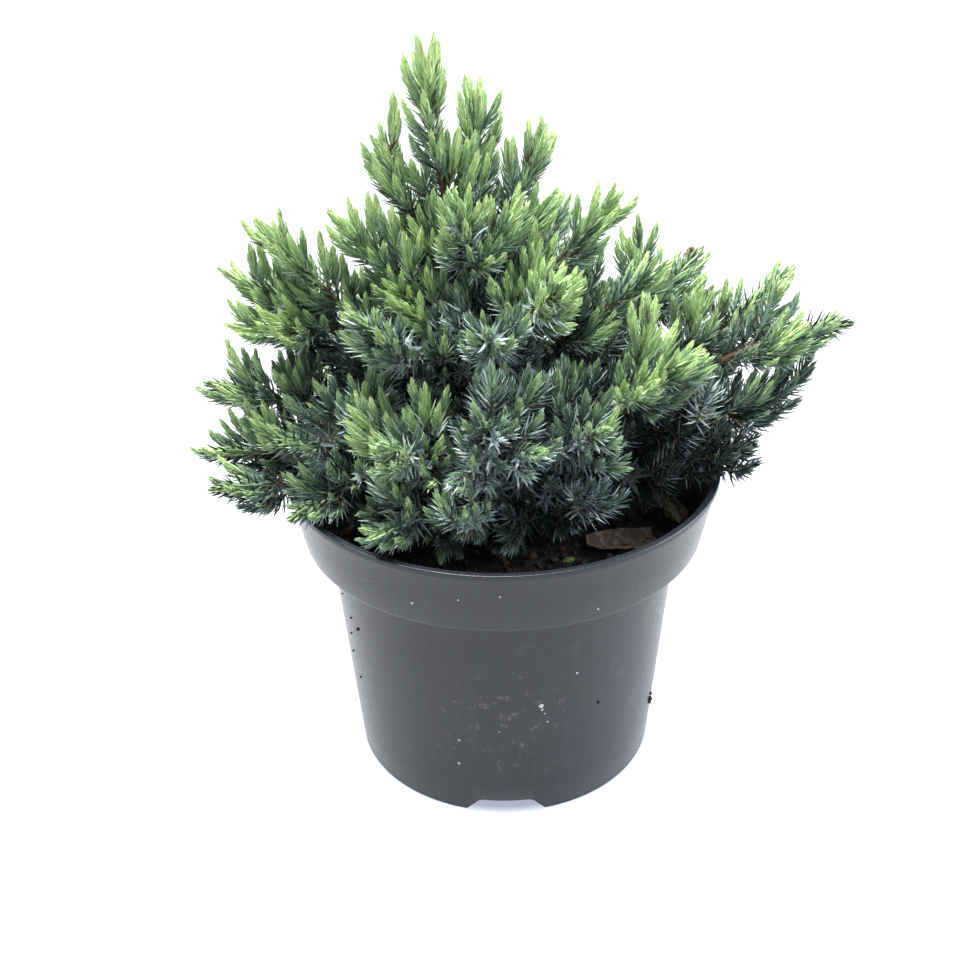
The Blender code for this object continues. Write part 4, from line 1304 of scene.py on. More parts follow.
    def build(self, effects: Effects) -> None:
        """Build the twigs and the needles of every region and dress them."""
        draws = np.random.default_rng(self.seed)
        needle = self.needle()
        materials = []
        for tint in TINTS:
            for side, colour in (("outer", tint.outer), ("inner", tint.inner)):
                finish = Finish(f"needle_{tint.name}_{side}", colour, tint.dulness, specular=0.45,
                                grain_scale=900.0, grain_depth=0.00005)
                materials.append(finish.paint(effects))
        stems = [Shoot(stem, 1.0, Order.STEM, plume)
                 for stem, plume in zip(self.growth.stems.values(), PLUMES)]
        members: dict[Region, list[Rows]] = {region: [] for region in Region}
        shoots = self.growth.shoots + stems
        for shoot, light in zip(shoots, self.light_on(shoots)):
            members[Region.of(shoot.plume)].append(self.along_shoot(shoot, light, draws))
        total = 0
        for region, blocks in members.items():
            rows = {key: np.concatenate([block[key] for block in blocks]) for key in blocks[0]}
            corners, faces = needle.copies(self.placed(needle, rows, draws))
            tints = self.tint_numbers(rows["fresh"], rows["t"], draws)
            slots = (2 * tints[:, None] + needle.slots[None]).ravel()
            made = joined("needles_" + region.value, corners, faces, slots, materials)
            replaced = [plume.node() for plume in PLUMES if Region.of(plume) is region]
            dress(made, Slot.NEEDLES, replaced)
            total += len(faces)
        bark = Bark("young_bark", (0.082, 0.064, 0.034), roughness=0.75, grain_scale=700.0,
                    flake=(0.15, 0.12, 0.07))
        corners, faces = self.twig_block(self.growth.shoots)
        dress(joined("twigs", corners, faces, None, [bark.paint(effects)], smooth=True), Slot.BARK)
        LOG.info("foliage: %d shoots, %d triangles of needles, %d of twigs", len(self.growth.shoots), total,
                 len(faces))


@dataclass
class Limbs:
    """The trunk, the boughs and the plumes' stems, with the relief of flaking bark."""

    growth: Growth
    trunk_sides: int = 44
    trunk_rings: int = 90
    bough_sides: int = 16
    bough_rings: int = 34
    stem_sides: int = 8
    stem_rings: int = 16
    stem_stops: float = 0.0090
    ring_power: float = 1.3
    relief: float = 0.16
    stem_relief: float = 0.5
    sink: float = 0.0010

    def add_limb(self, bm: BMesh, limb: Limb, sides: int, rings: int, relief: float,
                 last: float = 1.0) -> None:
        """Sweep one limb into a bmesh along its curve.

        Args:
            bm: the bmesh.
            limb: the limb.
            sides: the number of sides.
            rings: the number of rings.
            relief: the depth of the bark's relief, as a share of the radius.
            last: the share of the limb's length at which it ends.
        """
        def place(k: int, j: int) -> Vector:
            """Return the spot of one corner, raised by the bark; the first ring is sunk in the carrier."""
            t = last * (k / (rings - 1)) ** self.ring_power
            along = limb.along(t)
            centre = limb.at(t) if k else limb.at(t) - along * self.sink
            across, upward = side_axes(along)
            angle = FULL_TURN * j / sides
            outward = across * math.cos(angle) + upward * math.sin(angle)
            spot = centre + outward * limb.radius(t)
            bark = self.flakes(spot, angle, t * limb.length())
            return spot + outward * (limb.radius(t) * relief * bark)

        sweep(bm, sides, rings, place)

    @staticmethod
    def flakes(spot: Vector, angle: float, run: float) -> float:
        """Return the height of the bark at a spot: long plates with fine cracks between them."""
        plates = noise.noise(Vector((math.cos(angle) * 2.2, math.sin(angle) * 2.2, run * 190.0)))
        cracks = abs(noise.noise(spot * 900.0))
        return 0.9 * plates - 1.2 * max(0.0, 0.25 - cracks)

    def build(self, effects: Effects) -> None:
        """Build the limbs as one piece and dress it."""
        bm = bmesh.new()
        self.add_limb(bm, self.growth.trunk, self.trunk_sides, self.trunk_rings, self.relief)
        for bough in self.growth.boughs.values():
            self.add_limb(bm, bough, self.bough_sides, self.bough_rings, self.relief)
        for stem in self.growth.stems.values():
            last = 1.0 - self.stem_stops / stem.length()
            self.add_limb(bm, stem, self.stem_sides, self.stem_rings, self.stem_relief * self.relief, last)
        bark = Bark("trunk_bark", (0.105, 0.058, 0.036), roughness=0.8, grain_scale=800.0, grain_depth=0.0004)
        made = to_object(bm, "limbs", [bark.paint(effects)], 50.0)
        dress(made, Slot.BARK, ["trunk", *("bough_" + name for name in self.growth.boughs)])


@dataclass
class Pot:
    """The moulded pot: a turned wall with a lip, a stepped collar, a notched foot and drain holes."""

    collar_height: float = 0.0212
    collar_foot_radius: float = 0.0604
    body_top_radius: float = 0.0533
    foot_radius: float = 0.0465
    wall: float = 0.0014
    lip_width: float = 0.0021
    lip_height: float = 0.0018
    foot_ring_width: float = 0.0022
    floor_rise: float = 0.0050
    pad_radius: float = 0.0100
    edge_round: float = 0.00045
    shoulder_round: float = 0.0011
    cut_round: float = 0.00022
    cut_from: float = math.radians(62)
    smooth_below: float = 38.0
    longest_run: float = 0.012
    steps: int = 168
    notch_count: int = 4
    notch_top: float = 0.0158
    notch_bottom: float = 0.0244
    notch_height: float = 0.0048
    notch_round: float = 0.0011
    painted_light_from: float = 0.010
    painted_light_below_lip: float = 0.0006
    drain_radius: float = 0.0045
    drain_ring: float = 0.0290

    def body_radius(self, height: float) -> float:
        """Return the outer radius of the body at a height."""
        ledge = POT_HEIGHT - self.collar_height
        return self.foot_radius + (self.body_top_radius - self.foot_radius) * height / ledge

    def collar_radius(self, height: float) -> float:
        """Return the outer radius of the collar at a height."""
        ledge = POT_HEIGHT - self.collar_height
        top = RIM_RADIUS - self.lip_width + self.wall
        slope = (top - self.collar_foot_radius) / (self.collar_height - self.lip_height)
        return self.collar_foot_radius + slope * (height - ledge)

    def profile(self) -> list[Triple]:
        """Return the corners of the wall in section as radius, height and rounding, from the pad outward."""
        ledge = POT_HEIGHT - self.collar_height
        floor_top = self.floor_rise + self.wall
        foot_inner = self.foot_radius - self.foot_ring_width
        under_lip = POT_HEIGHT - self.lip_height
        fine = self.edge_round
        return [
            (0.0, 0.0, 0.0),
            (self.pad_radius, 0.0, fine),
            (self.pad_radius + fine, self.floor_rise, fine),
            (foot_inner, self.floor_rise, fine),
            (foot_inner, 0.0, fine),
            (self.foot_radius, 0.0, fine),
            (self.body_radius(ledge), ledge, 0.5 * fine),
            (self.collar_foot_radius, ledge, self.shoulder_round),
            (self.collar_radius(under_lip), under_lip, 0.5 * fine),
            (RIM_RADIUS, under_lip, fine),
            (RIM_RADIUS, POT_HEIGHT, fine),
            (RIM_RADIUS - self.lip_width, POT_HEIGHT, fine),
            (self.collar_foot_radius - self.wall, ledge + self.wall, self.shoulder_round),
            (self.body_radius(ledge) - self.wall, ledge + self.wall, fine),
            (self.body_radius(floor_top) - self.wall, floor_top, fine),
            (0.0, floor_top, 0.0),
        ]

    @staticmethod
    def rounded(corners: Sequence[Triple], arc_steps: int = 4) -> list[Vector]:
        """Return a section with its corners rounded.

        Args:
            corners: rows of radius, height and rounding.
            arc_steps: the number of steps in each rounded corner.

        Returns:
            Points in the XZ plane.
        """
        points = []
        for k, (radius, height, round_off) in enumerate(corners):
            here = Vector((radius, 0.0, height))
            if round_off == 0.0 or k in (0, len(corners) - 1):
                points.append(here)
                continue
            before, after = (Vector((corners[n][0], 0.0, corners[n][1])) for n in (k - 1, k + 1))
            reach = min(round_off, 0.45 * (before - here).length, 0.45 * (after - here).length)
            start = here + (before - here).normalized() * reach
            end = here + (after - here).normalized() * reach
            for step in range(arc_steps + 1):
                t = step / arc_steps
                points.append(start * (1 - t) ** 2 + here * (2 * t * (1 - t)) + end * t ** 2)
        return points

    def notch(self, turn: float) -> bpy.types.Object:
        """Return the cutter of one notch in the foot ring, turned about the axis."""
        bm = bmesh.new()
        bmesh.ops.create_cube(bm, size=1.0)
        deep = 5 * self.foot_ring_width
        below = 0.1 * self.notch_height
        slope = (self.notch_bottom - self.notch_top) / self.notch_height
        for vert in bm.verts:
            high = vert.co.z > 0
            width = self.notch_top if high else self.notch_bottom + slope * below
            level = self.notch_height if high else -below
            vert.co = (self.foot_radius + vert.co.x * deep, vert.co.y * width, level)
        rims = [edge for edge in bm.edges if all(vert.co.z > 0 for vert in edge.verts)
                and abs(edge.verts[0].co.y - edge.verts[1].co.y) < 1e-6]
        bmesh.ops.bevel(bm, geom=rims, offset=self.notch_round, offset_type="OFFSET", segments=4,
                        profile=0.5, affect="EDGES", material=-1)
        bmesh.ops.rotate(bm, verts=bm.verts, cent=(0, 0, 0), matrix=Matrix.Rotation(turn, 3, "Z"))
        return to_object(bm, "notch", [], None)

    def drain(self, turn: float) -> bpy.types.Object:
        """Return the cutter of one drain hole in the floor."""
        bm = bmesh.new()
        bmesh.ops.create_cone(bm, cap_ends=True, segments=32, radius1=self.drain_radius,
                              radius2=self.drain_radius, depth=4 * self.wall)
        spot = Vector((self.drain_ring * math.cos(turn), self.drain_ring * math.sin(turn),
                       self.floor_rise + self.wall / 2))
        bmesh.ops.translate(bm, verts=bm.verts, vec=spot)
        return to_object(bm, "drain", [], None)

    def cut(self, target: bpy.types.Object, cutters: Sequence[bpy.types.Object]) -> None:
        """Take the cutters away from the target for good and round the new edges."""
        group = bpy.data.collections.new("pot_cutters")
        bpy.context.scene.collection.children.link(group)
        for cutter in cutters:
            bpy.context.scene.collection.objects.unlink(cutter)
            group.objects.link(cutter)
        step = target.modifiers.new("cut", "BOOLEAN")
        step.operation, step.solver = "DIFFERENCE", "EXACT"
        step.operand_type, step.collection = "COLLECTION", group
        soften = target.modifiers.new("soften", "BEVEL")
        soften.width, soften.segments = self.cut_round, 2
        soften.limit_method, soften.angle_limit = "ANGLE", self.cut_from
        bpy.context.view_layer.update()
        evaluated = target.evaluated_get(bpy.context.evaluated_depsgraph_get())
        mesh = bpy.data.meshes.new_from_object(evaluated)
        target.modifiers.clear()
        target.data = mesh
        for used in cutters:
            bpy.data.objects.remove(used)
        bpy.data.collections.remove(group)

    def build(self, effects: Effects) -> None:
        """Build the pot and dress it: slate outside, and inside a lighter copy of the plastic that paints
        light onto the shaded inner wall.
        """
        outside = MouldedPlastic("slate_plastic", (0.0165, 0.0190, 0.0270), roughness=0.27, specular=0.46,
                                 grain_scale=1500.0, grain_depth=0.000024)
        # The inner plastic is several times lighter than the outer one: painted light on the shaded inner
        # wall, under a little dust.
        inside = MouldedPlastic("damp_plastic", (0.060, 0.062, 0.070), roughness=0.5,
                                grain_scale=1200.0, grain_depth=0.00006, dust=(0.03, 0.028, 0.025))
        paints = [outside.paint(effects), inside.paint(effects)]
        wall = spun(self.rounded(self.profile()), self.steps, self.longest_run)
        made = to_object(wall, "pot_shell", paints, self.smooth_below)
        turns = [-math.pi / 2 + FULL_TURN * k / self.notch_count for k in range(self.notch_count)]
        cutters = [self.notch(turn) for turn in turns]
        cutters += [self.drain(turn + math.pi / self.notch_count) for turn in turns]
        self.cut(made, cutters)
        self.mark_inside(made.data)
        made.data.shade_smooth()
        made.data.set_sharp_from_angle(angle=math.radians(self.smooth_below))
        dress(made, Slot.POT, ["pot"])

    def mark_inside(self, mesh: bpy.types.Mesh) -> None:
        """Give the inner wall the lighter copy of the plastic, painted light on its shade, from just under
        the lip down.
        """
        for face in mesh.polygons:
            centre, normal = face.center, face.normal
            inward = centre.x * normal.x + centre.y * normal.y < 0.0
            # The band of inner wall that takes the lighter plastic, painted light on its shade.
            damp = self.painted_light_from < centre.z < POT_HEIGHT - self.painted_light_below_lip
            face.material_index = 1 if inward and damp else 0


@dataclass
class Compost:
    """The compost: an uneven dark bed with crumbs of compost and bark and some grit in it."""

    level: float = 0.0830
    dish: float = 0.0016
    bumps: float = 0.0011
    bump_scale: float = 95.0
    seat_radius: float = 0.0095
    wall_radius: float = 0.0604
    gap: float = 0.0006
    floor_gap: float = 0.0003
    rim_gap: float = 0.0009
    shoulder_gap: float = 0.002
    bed_rings: int = 90
    bed_steps: int = 200
    coarse_lumps: Pair = (330.0, 0.0009)
    fine_lumps: Pair = (900.0, 0.00045)
    crumbs: int = 1500
    bark_crumbs: int = 170
    grit: int = 16
    crumbs_reach: float = 0.0575
    crumb_sink: float = 0.2
    small_power: float = 2.5
    seed: int = 19

    def height(self, x: float, y: float) -> float:
        """Return the height of the bed's top at a place."""
        radius = math.hypot(x, y)
        dish = self.dish * (radius / self.wall_radius) ** 2
        bump = self.bumps * noise.noise(Vector((x * self.bump_scale, y * self.bump_scale, 0.3)))
        free = min(1.0, max(0.0, radius / self.seat_radius - 1.0))
        return self.level + free * (bump - dish)

    def lumps(self, x: float, y: float) -> float:
        """Return the finer relief of lumps on the bed."""
        spot = Vector((x, y, 0.0))
        coarse = noise.noise(spot * self.coarse_lumps[0])
        fine = noise.noise(spot * self.fine_lumps[0] + Vector((3.0, 1.0, 7.0)))
        return self.coarse_lumps[1] * coarse + self.fine_lumps[1] * fine

    def bed(self, pot: Pot) -> BMesh:
        """Spin the bed's section into a closed body and raise lumps on its top."""
        ledge = POT_HEIGHT - pot.collar_height + pot.wall
        floor = pot.floor_rise + pot.wall + self.floor_gap
        low = pot.body_radius(floor) - pot.wall - self.gap
        high = pot.body_radius(ledge) - pot.wall - self.gap
        rim = pot.collar_radius(self.level) - pot.wall - self.gap - self.rim_gap
        shoulder = pot.collar_foot_radius - pot.wall - self.shoulder_gap
        corners = [(0.0, floor), (low, floor), (high, ledge), (shoulder, ledge)]
        corners += [(rim * (1.0 - k / self.bed_rings), self.level) for k in range(self.bed_rings + 1)]
        bm = spun([Vector((radius, 0.0, height)) for radius, height in corners], self.bed_steps)
        for vert in bm.verts:
            if vert.co.z > self.level - 1e-6:
                x, y = vert.co.xy
                vert.co.z = self.height(x, y) + self.lumps(x, y)
        return bm

    def crumb(self, draws: Draws) -> Template:
        """Model one rough crumb about the origin."""
        bm = bmesh.new()
        bmesh.ops.create_icosphere(bm, subdivisions=1, radius=0.5)
        for vert in bm.verts:
            vert.co *= draws.uniform(0.65, 1.2)
        return Template.of(bm)

    def scatter(self, count: int, draws: Draws) -> np.ndarray:
        """Return places on the bed, as rows of x, y and z, evenly spread."""
        radius = self.crumbs_reach * np.sqrt(draws.random(count))
        angle = draws.uniform(0.0, FULL_TURN, count)
        x, y = radius * np.cos(angle), radius * np.sin(angle)
        return np.array([(a, b, self.height(a, b)) for a, b in zip(x, y)])

    def crumb_blocks(self, count: int, sizes: Pair, draws: Draws) -> Block:
        """Return the corners and faces of crumbs of mixed sizes, turned any way, partly sunk in the bed."""
        crumb = self.crumb(draws)
        size = sizes[0] + (sizes[1] - sizes[0]) * draws.random(count) ** self.small_power
        axes, _ = np.linalg.qr(draws.normal(size=(count, 3, 3)))
        shaped = crumb.corners[None] * draws.uniform(0.7, 1.2, (count, 1, 3)) * size[:, None, None]
        placed = np.einsum("nij,nkj->nki", axes, shaped)
        raised = np.array([0, 0, 1]) * self.crumb_sink * size[:, None]
        placed += (self.scatter(count, draws) + raised)[:, None]
        corners, faces = crumb.copies(placed)
        flipped = np.linalg.det(axes) < 0
        rows = faces.reshape(count, -1, 3)
        rows[flipped] = rows[flipped][:, :, ::-1]
        return corners, rows.reshape(-1, 3)

    def build(self, pot: Pot, effects: Effects) -> None:
        """Build the bed and what is mixed in it, and dress them."""
        draws = np.random.default_rng(self.seed)
        dark = DampCompost("damp_compost", (0.027, 0.025, 0.028), roughness=0.82, specular=0.25,
                           grain_scale=700.0, grain_depth=0.0006, brown=(0.042, 0.028, 0.020))
        made = to_object(self.bed(pot), "compost_bed", [dark.paint(effects)], 60.0)
        dress(made, Slot.COMPOST, ["soil"])
        crumb = Finish("crumb", (0.036, 0.031, 0.031), roughness=0.8)
        brown = Finish("bark_crumb", (0.090, 0.050, 0.032), roughness=0.75)
        white = Finish("grit", (0.55, 0.54, 0.50), roughness=0.8)
        kinds = (
            ("compost_crumbs", self.crumbs, (0.0007, 0.0034), crumb),
            ("bark_crumbs", self.bark_crumbs, (0.0012, 0.0046), brown),
            ("white_grit", self.grit, (0.0009, 0.0016), white),
        )
        for name, count, sizes, finish in kinds:
            corners, faces = self.crumb_blocks(count, sizes, draws)
            dress(joined(name, corners, faces, None, [finish.paint(effects)]), Slot.COMPOST)
        LOG.info("compost: %d crumbs", sum(kind[1] for kind in kinds))


@dataclass
class Litter:
    """What lies on the compost: curled bark, a dry sprig and a fallen green tip."""

    compost: Compost
    foliage: Foliage
    flake_lift: float = 0.0006
    flake_thickness: float = 0.0007
    flake_bumps: float = 0.0003
    sprig_lift: float = 0.0028
    sprig_scale: float = 0.7
    sprig_opening: Pair = (0.2, 0.9)
    sprig_needles: float = 0.72
    sprig_sink: float = 0.0012
    seed: int = 3

    def flake(self, name: str, azimuth: float, reach: float, size: Pair, turn: float, curl: float) -> BMesh:
        """Model one curled flake of bark that lies on the compost.

        Args:
            name: the flake's name, which seeds its outline.
            azimuth: its direction from the axis in degrees.
            reach: its distance from the axis.
            size: its length and width.
            turn: its turn about the vertical in degrees.
            curl: how far its long edges rise.

        Returns:
            The flake as a bmesh.
        """
        bm = bmesh.new()
        bmesh.ops.create_grid(bm, x_segments=26, y_segments=14, size=0.5)
        angle, spin = math.radians(azimuth), math.radians(turn)
        centre = Vector((reach * math.cos(angle), reach * math.sin(angle), 0.0))
        along = Vector((math.cos(spin), math.sin(spin), 0.0))
        across = Vector((-math.sin(spin), math.cos(spin), 0.0))
        for vert in bm.verts:
            u, v = vert.co.x, vert.co.y
            edge = 1.0 + 0.22 * noise.noise(Vector((u * 5.0, 2.0 if v > 0 else 7.0, len(name))))
            narrow = (1.0 - 0.55 * (2 * u) ** 2) * edge
            spot = centre + along * (u * size[0]) + across * (v * size[1] * narrow)
            bump = self.flake_bumps * noise.noise(Vector((u * 9, v * 9, 4.0)))
            rise = curl * ((2 * v) ** 2 + 0.5 * (2 * u) ** 2) + bump
            vert.co = (spot.x, spot.y, self.compost.height(spot.x, spot.y) + self.flake_lift + rise)
        bmesh.ops.recalc_face_normals(bm, faces=bm.faces)
        bmesh.ops.solidify(bm, geom=bm.faces[:], thickness=self.flake_thickness)
        return bm

    def build(self, effects: Effects) -> None:
        """Build the flakes and the fallen sprigs, and dress them."""
        # The flakes' colours are lifted about threefold over their own brown: painted light on them where the
        # crown shades the compost.
        dry = Bark("dry_flake", (0.140, 0.098, 0.074), roughness=0.7, specular=0.35, grain_scale=900.0,
                   grain_depth=0.0003, flake=(0.30, 0.25, 0.21), stretch=(1.0, 0.35, 1.0))
        paint = dry.paint(effects)
        for name, azimuth, reach, size, turn, curl in (
                ("large", 323, 0.0425, (0.0200, 0.0110), 12, 0.0018),
                ("small", 352, 0.0520, (0.0110, 0.0070), 100, 0.0012)):
            flake = self.flake(name, azimuth, reach, size, turn, curl)
            dress(to_object(flake, "bark_flake_" + name, [paint]), Slot.DRY_BARK, ["bark_chip_" + name])
        self.sprigs(effects)

    def sprigs(self, effects: Effects) -> None:
        """Lay a dry sprig against the right of the pot and a fallen green tip at the front."""
        draws = np.random.default_rng(self.seed)
        needle = self.foliage.needle()
        for name, foot, tip, arch, colours in (
                # The dry sprig's pale colours are lifted several times over its own straw colour: painted
                # light on it where it lies in the crown's shade.
                ("dry_sprig", (0.0440, 0.0060), (0.0525, -0.0165), 0.0024,
                 {"outer": (0.40, 0.41, 0.27), "inner": (0.54, 0.55, 0.42)}),
                ("green_tip", (0.0160, -0.0385), (0.0215, -0.0365), 0.0004,
                 {"outer": (0.20, 0.30, 0.06), "inner": (0.30, 0.40, 0.12)})):
            start, end = (Vector((*spot, self.compost.height(*spot) + self.sprig_lift))
                          for spot in (foot, tip))
            curve = Limb(start, start.lerp(end, 0.5) + UP * arch, end, 0.0, 0.0)
            rows = self.foliage.along_shoot(Shoot(curve, self.sprig_scale, Order.SIDE, PLUMES[0]), 1.0, draws)
            rows["open"] = np.clip(rows["open"], *self.sprig_opening)
            rows["length"] *= self.sprig_needles
            placed = self.foliage.placed(needle, rows, draws)
            placed[..., 2] = np.maximum(placed[..., 2], self.compost.level - self.sprig_sink)
            corners, faces = needle.copies(placed)
            slots = np.tile(needle.slots, len(rows["open"]))
            paints = [Finish(f"{name}_{side}", colour, roughness=0.7).paint(effects)
                      for side, colour in colours.items()]
            dress(joined(name, corners, faces, slots, paints), Slot.NEEDLES)


@dataclass
class WallMarks:
    """What has dried on the pot's wall: lime specks, a drop with its tail, crumbs and scratches."""

    pot: Pot
    specks: Sequence[Triple] = (
        (246.3, 0.0844, 0.00042), (258.8, 0.0885, 0.00030), (294.8, 0.0810, 0.00034),
        (294.0, 0.0527, 0.00038), (253.8, 0.0287, 0.00040), (253.2, 0.0191, 0.00044),
        (267.9, 0.0335, 0.00026), (282.0, 0.0428, 0.00078), (284.4, 0.0361, 0.00030),
        (269.1, 0.0904, 0.00030), (282.4, 0.0412, 0.00040), (283.3, 0.0396, 0.00028),
    )
    crumbs: Sequence[Triple] = (
        (303.5, 0.0380, 0.0005), (212.0, 0.0550, 0.0006), (207.0, 0.0565, 0.0004), (204.0, 0.0490, 0.0004),
        (202.0, 0.0410, 0.0004), (206.0, 0.0330, 0.0004), (201.0, 0.0620, 0.0003), (342.6, 0.0178, 0.0010),
        (343.2, 0.0163, 0.0008), (343.6, 0.0193, 0.0006),
    )
    scratches: Sequence[tuple[float, float, float, float]] = (
        (224.9, 0.0860, 237.0, 0.0882), (228.7, 0.0817, 231.9, 0.0829),
    )
    scratch_width: float = 0.00011
    scratch_steps: int = 8
    scratch_sides: int = 4

    def on_wall(self, azimuth: float, height: float) -> tuple[Vector, Vector]:
        """Return a point on the outer wall and the direction outward there."""
        on_collar = height > POT_HEIGHT - self.pot.collar_height
        radius = self.pot.collar_radius(height) if on_collar else self.pot.body_radius(height)
        angle = math.radians(azimuth)
        outward = Vector((math.cos(angle), math.sin(angle), 0.0))
        return outward * radius + UP * height, outward

    def dots(self, rows: Sequence[Triple], flat: float, name: str, finish: Finish, effects: Effects) -> None:
        """Build small flattened blobs on the wall and dress them."""
        bm = bmesh.new()
        draws = np.random.default_rng(len(rows))
        for azimuth, height, radius in rows:
            spot, outward = self.on_wall(azimuth, height)
            turn = outward.to_track_quat("Z", "Y").to_matrix()
            for vert in bmesh.ops.create_icosphere(bm, subdivisions=2, radius=radius)["verts"]:
                shaped = Vector((vert.co.x, vert.co.y, vert.co.z * flat)) * draws.uniform(0.85, 1.15)
                vert.co = spot + turn @ shaped
        dress(to_object(bm, name, [finish.paint(effects)], 80.0), Slot.POT)

    def build(self, effects: Effects) -> None:
        """Build the specks, the crumbs and the scratches."""
        lime = Finish("lime", (0.52, 0.53, 0.55), roughness=0.5, specular=0.5)
        crumb = Finish("wall_crumb", (0.014, 0.012, 0.011), roughness=0.8)
        self.dots(self.specks, 0.35, "lime_specks", lime, effects)
        self.dots(self.crumbs, 0.9, "wall_crumbs", crumb, effects)
        bm = bmesh.new()
        for first_turn, first_height, last_turn, last_height in self.scratches:
            def place(k: int, j: int) -> Vector:
                """Return the spot of one corner of the scratch, which is thin at both ends."""
                share = k / self.scratch_steps
                spot, outward = self.on_wall(first_turn + (last_turn - first_turn) * share,
                                             first_height + (last_height - first_height) * share)
                width = self.scratch_width * (0.25 + math.sin(math.pi * share))
                angle = FULL_TURN * j / self.scratch_sides
                raised = outward * (0.5 * width * math.sin(angle))
                return spot + UP * (width * math.cos(angle)) + raised

            sweep(bm, self.scratch_sides, self.scratch_steps + 1, place)
        burr = Finish("scratch_burr", (0.17, 0.175, 0.185), roughness=0.5, specular=0.4)
        dress(to_object(bm, "scratches", [burr.paint(effects)], 80.0), Slot.POT)


@dataclass
class DriedBud:
    """A small brown bud, dried on the tip of one shoot behind the right shoulder."""

    growth: Growth
    wanted: Sequence[float] = (0.0563, 0.0400, 0.1455)
    length: float = 0.0046
    sunk: float = 0.2
    scales: int = 21
    scale_turn: float = 2.4
    scale_size: float = 0.00085
    scale_shape: Sequence[float] = (0.9, 0.5, 1.7)
    scale_lean: float = 0.6
    swell: float = 0.0016

    def build(self, effects: Effects) -> None:
        """Build the bud's overlapping scales on the tip of the shoot nearest to its place."""
        wanted = Vector(self.wanted)
        shoot = min((s for s in self.growth.shoots if s.order is not Order.INNER),
                    key=lambda s: (s.curve.end - wanted).length)
        tip, along = shoot.curve.end, shoot.curve.along(1.0)
        bm = bmesh.new()
        for k in range(self.scales):
            level, turn = k / self.scales, self.scale_turn * k
            across, upward = side_axes(along)
            outward = across * math.cos(turn) + upward * math.sin(turn)
            swell = self.swell * math.sin(math.pi * (0.15 + 0.75 * level))
            centre = tip + along * (self.length * (level - self.sunk)) + outward * swell
            heading = (along + outward * self.scale_lean).normalized().to_track_quat("Z", "Y").to_matrix()
            for vert in bmesh.ops.create_icosphere(bm, subdivisions=1, radius=self.scale_size)["verts"]:
                shaped = Vector([part * scale for part, scale in zip(vert.co, self.scale_shape)])
                vert.co = centre + heading @ shaped
        finish = Bark("bud_scale", (0.145, 0.100, 0.052), roughness=0.7, grain_scale=900.0,
                      flake=(0.33, 0.26, 0.16))
        dress(to_object(bm, "dried_bud", [finish.paint(effects)], 50.0), Slot.BARK)


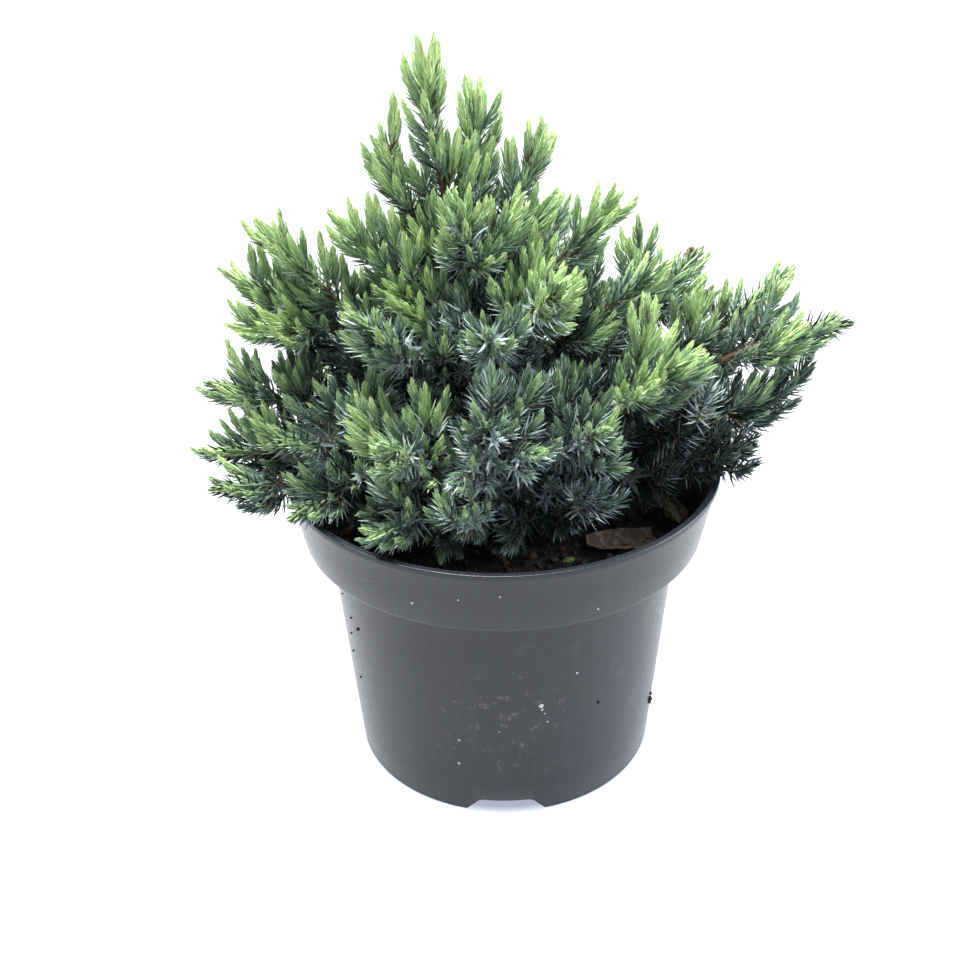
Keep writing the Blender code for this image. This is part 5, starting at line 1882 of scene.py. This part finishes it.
@dataclass
class Studio:
    """The plain pale floor, the soft light and the camera."""

    floor_radius: float = 4.0
    focal_length: float = 54.37
    camera_at: Sequence[float] = (0.0, -0.3887, 0.3114)
    camera_looks_at: Sequence[float] = (-0.0038, 0.0, 0.0867)
    camera_roll: float = math.radians(-0.92)
    sky: float = 0.53
    floor_grey: float = 0.16
    floor_glow: float = 1.07
    pot_shade: Pair = (0.0440, 0.0480)
    shade_colour: Colour = (0.38, 0.41, 0.53)
    glow_colour: Colour = (0.89, 0.93, 1.0)
    lit_point: Sequence[float] = (0.0, 0.0, 0.12)
    light_size: float = 0.8
    key_power: float = 59.0
    side_power: float = 23.0

    def floor(self) -> None:
        """Lay the floor, which glows but for the bluish shade under the pot."""
        bm = bmesh.new()
        bmesh.ops.create_circle(bm, cap_ends=True, segments=96, radius=self.floor_radius)
        made = bpy.data.materials.new("pale_floor")
        made.use_nodes = True
        tree = Tree(made.node_tree)
        shader = made.node_tree.nodes["Principled BSDF"]
        shader.inputs["Base Color"].default_value = (*(self.floor_grey,) * 3, 1.0)
        shader.inputs["Specular IOR Level"].default_value = 0.2
        spot = tree.place()
        away = tree.add("ShaderNodeVectorMath", operation="LENGTH")
        tree.join(spot, away.inputs[0])
        share = tree.ramp(away.outputs["Value"], *self.pot_shade)
        tree.join(tree.blend(share, self.shade_colour, self.glow_colour), shader.inputs["Emission Color"])
        shader.inputs["Emission Strength"].default_value = self.floor_glow
        tree.join(tree.ramp(tree.noise(tree.place(), 30.0), 0.3, 0.7, 0.6, 0.8), shader.inputs["Roughness"])
        to_object(bm, "studio_floor", [made], None, outward=False)

    def light(self, name: str, place: Sequence[float], power: float, colour: Colour) -> None:
        """Hang one soft square light that faces the crown."""
        data = bpy.data.lights.new(name, "AREA")
        data.shape, data.size, data.energy, data.color = "SQUARE", self.light_size, power, colour
        made = bpy.data.objects.new(name, data)
        made.location = place
        made.rotation_mode = "QUATERNION"
        made.rotation_quaternion = (Vector(self.lit_point) - Vector(place)).to_track_quat("-Z", "Y")
        bpy.context.scene.collection.objects.link(made)

    def camera(self) -> None:
        """Set the camera at the photograph's angle."""
        data = bpy.data.cameras.new("camera")
        data.lens, data.sensor_width = self.focal_length, 36.0
        data.clip_start, data.clip_end = 0.01, 50.0
        made = bpy.data.objects.new("camera", data)
        place = Vector(self.camera_at)
        forward = (Vector(self.camera_looks_at) - place).normalized()
        right = forward.cross(UP).normalized()
        up = right.cross(forward)
        turned_right = right * math.cos(self.camera_roll) + up * math.sin(self.camera_roll)
        turned_up = up * math.cos(self.camera_roll) - right * math.sin(self.camera_roll)
        columns = Matrix((turned_right, turned_up, -forward)).transposed()
        made.matrix_world = Matrix.Translation(place) @ columns.to_4x4()
        bpy.context.scene.collection.objects.link(made)
        bpy.context.scene.camera = made

    def build(self) -> None:
        """Set the floor, the sky, the lights and the camera."""
        self.floor()
        world = bpy.data.worlds.new("studio")
        world.use_nodes = True
        sky = world.node_tree.nodes["Background"]
        sky.inputs["Color"].default_value = (0.97, 0.985, 1.0, 1.0)
        sky.inputs["Strength"].default_value = self.sky
        bpy.context.scene.world = world
        self.light("key", (-0.22, 0.10, 1.30), self.key_power, (1.0, 0.985, 0.95))
        self.light("side", (1.1, 0.15, 0.6), self.side_power, (0.93, 0.96, 1.0))
        self.camera()
        bpy.context.scene.view_settings.view_transform = "Standard"


def main() -> None:
    """Build the studio and every part of the plant in its pot, in order."""
    logging.basicConfig(level=logging.INFO, format="%(name)s: %(message)s")
    Studio().build()
    effects = Effects()
    pot, compost, growth = Pot(), Compost(), Growth()
    pot.build(effects)
    WallMarks(pot).build(effects)
    compost.build(pot, effects)
    growth.grow()
    Limbs(growth).build(effects)
    foliage = Foliage(growth)
    foliage.build(effects)
    Litter(compost, foliage).build(effects)
    DriedBud(growth).build(effects)


if __name__ == "__main__":
    main()
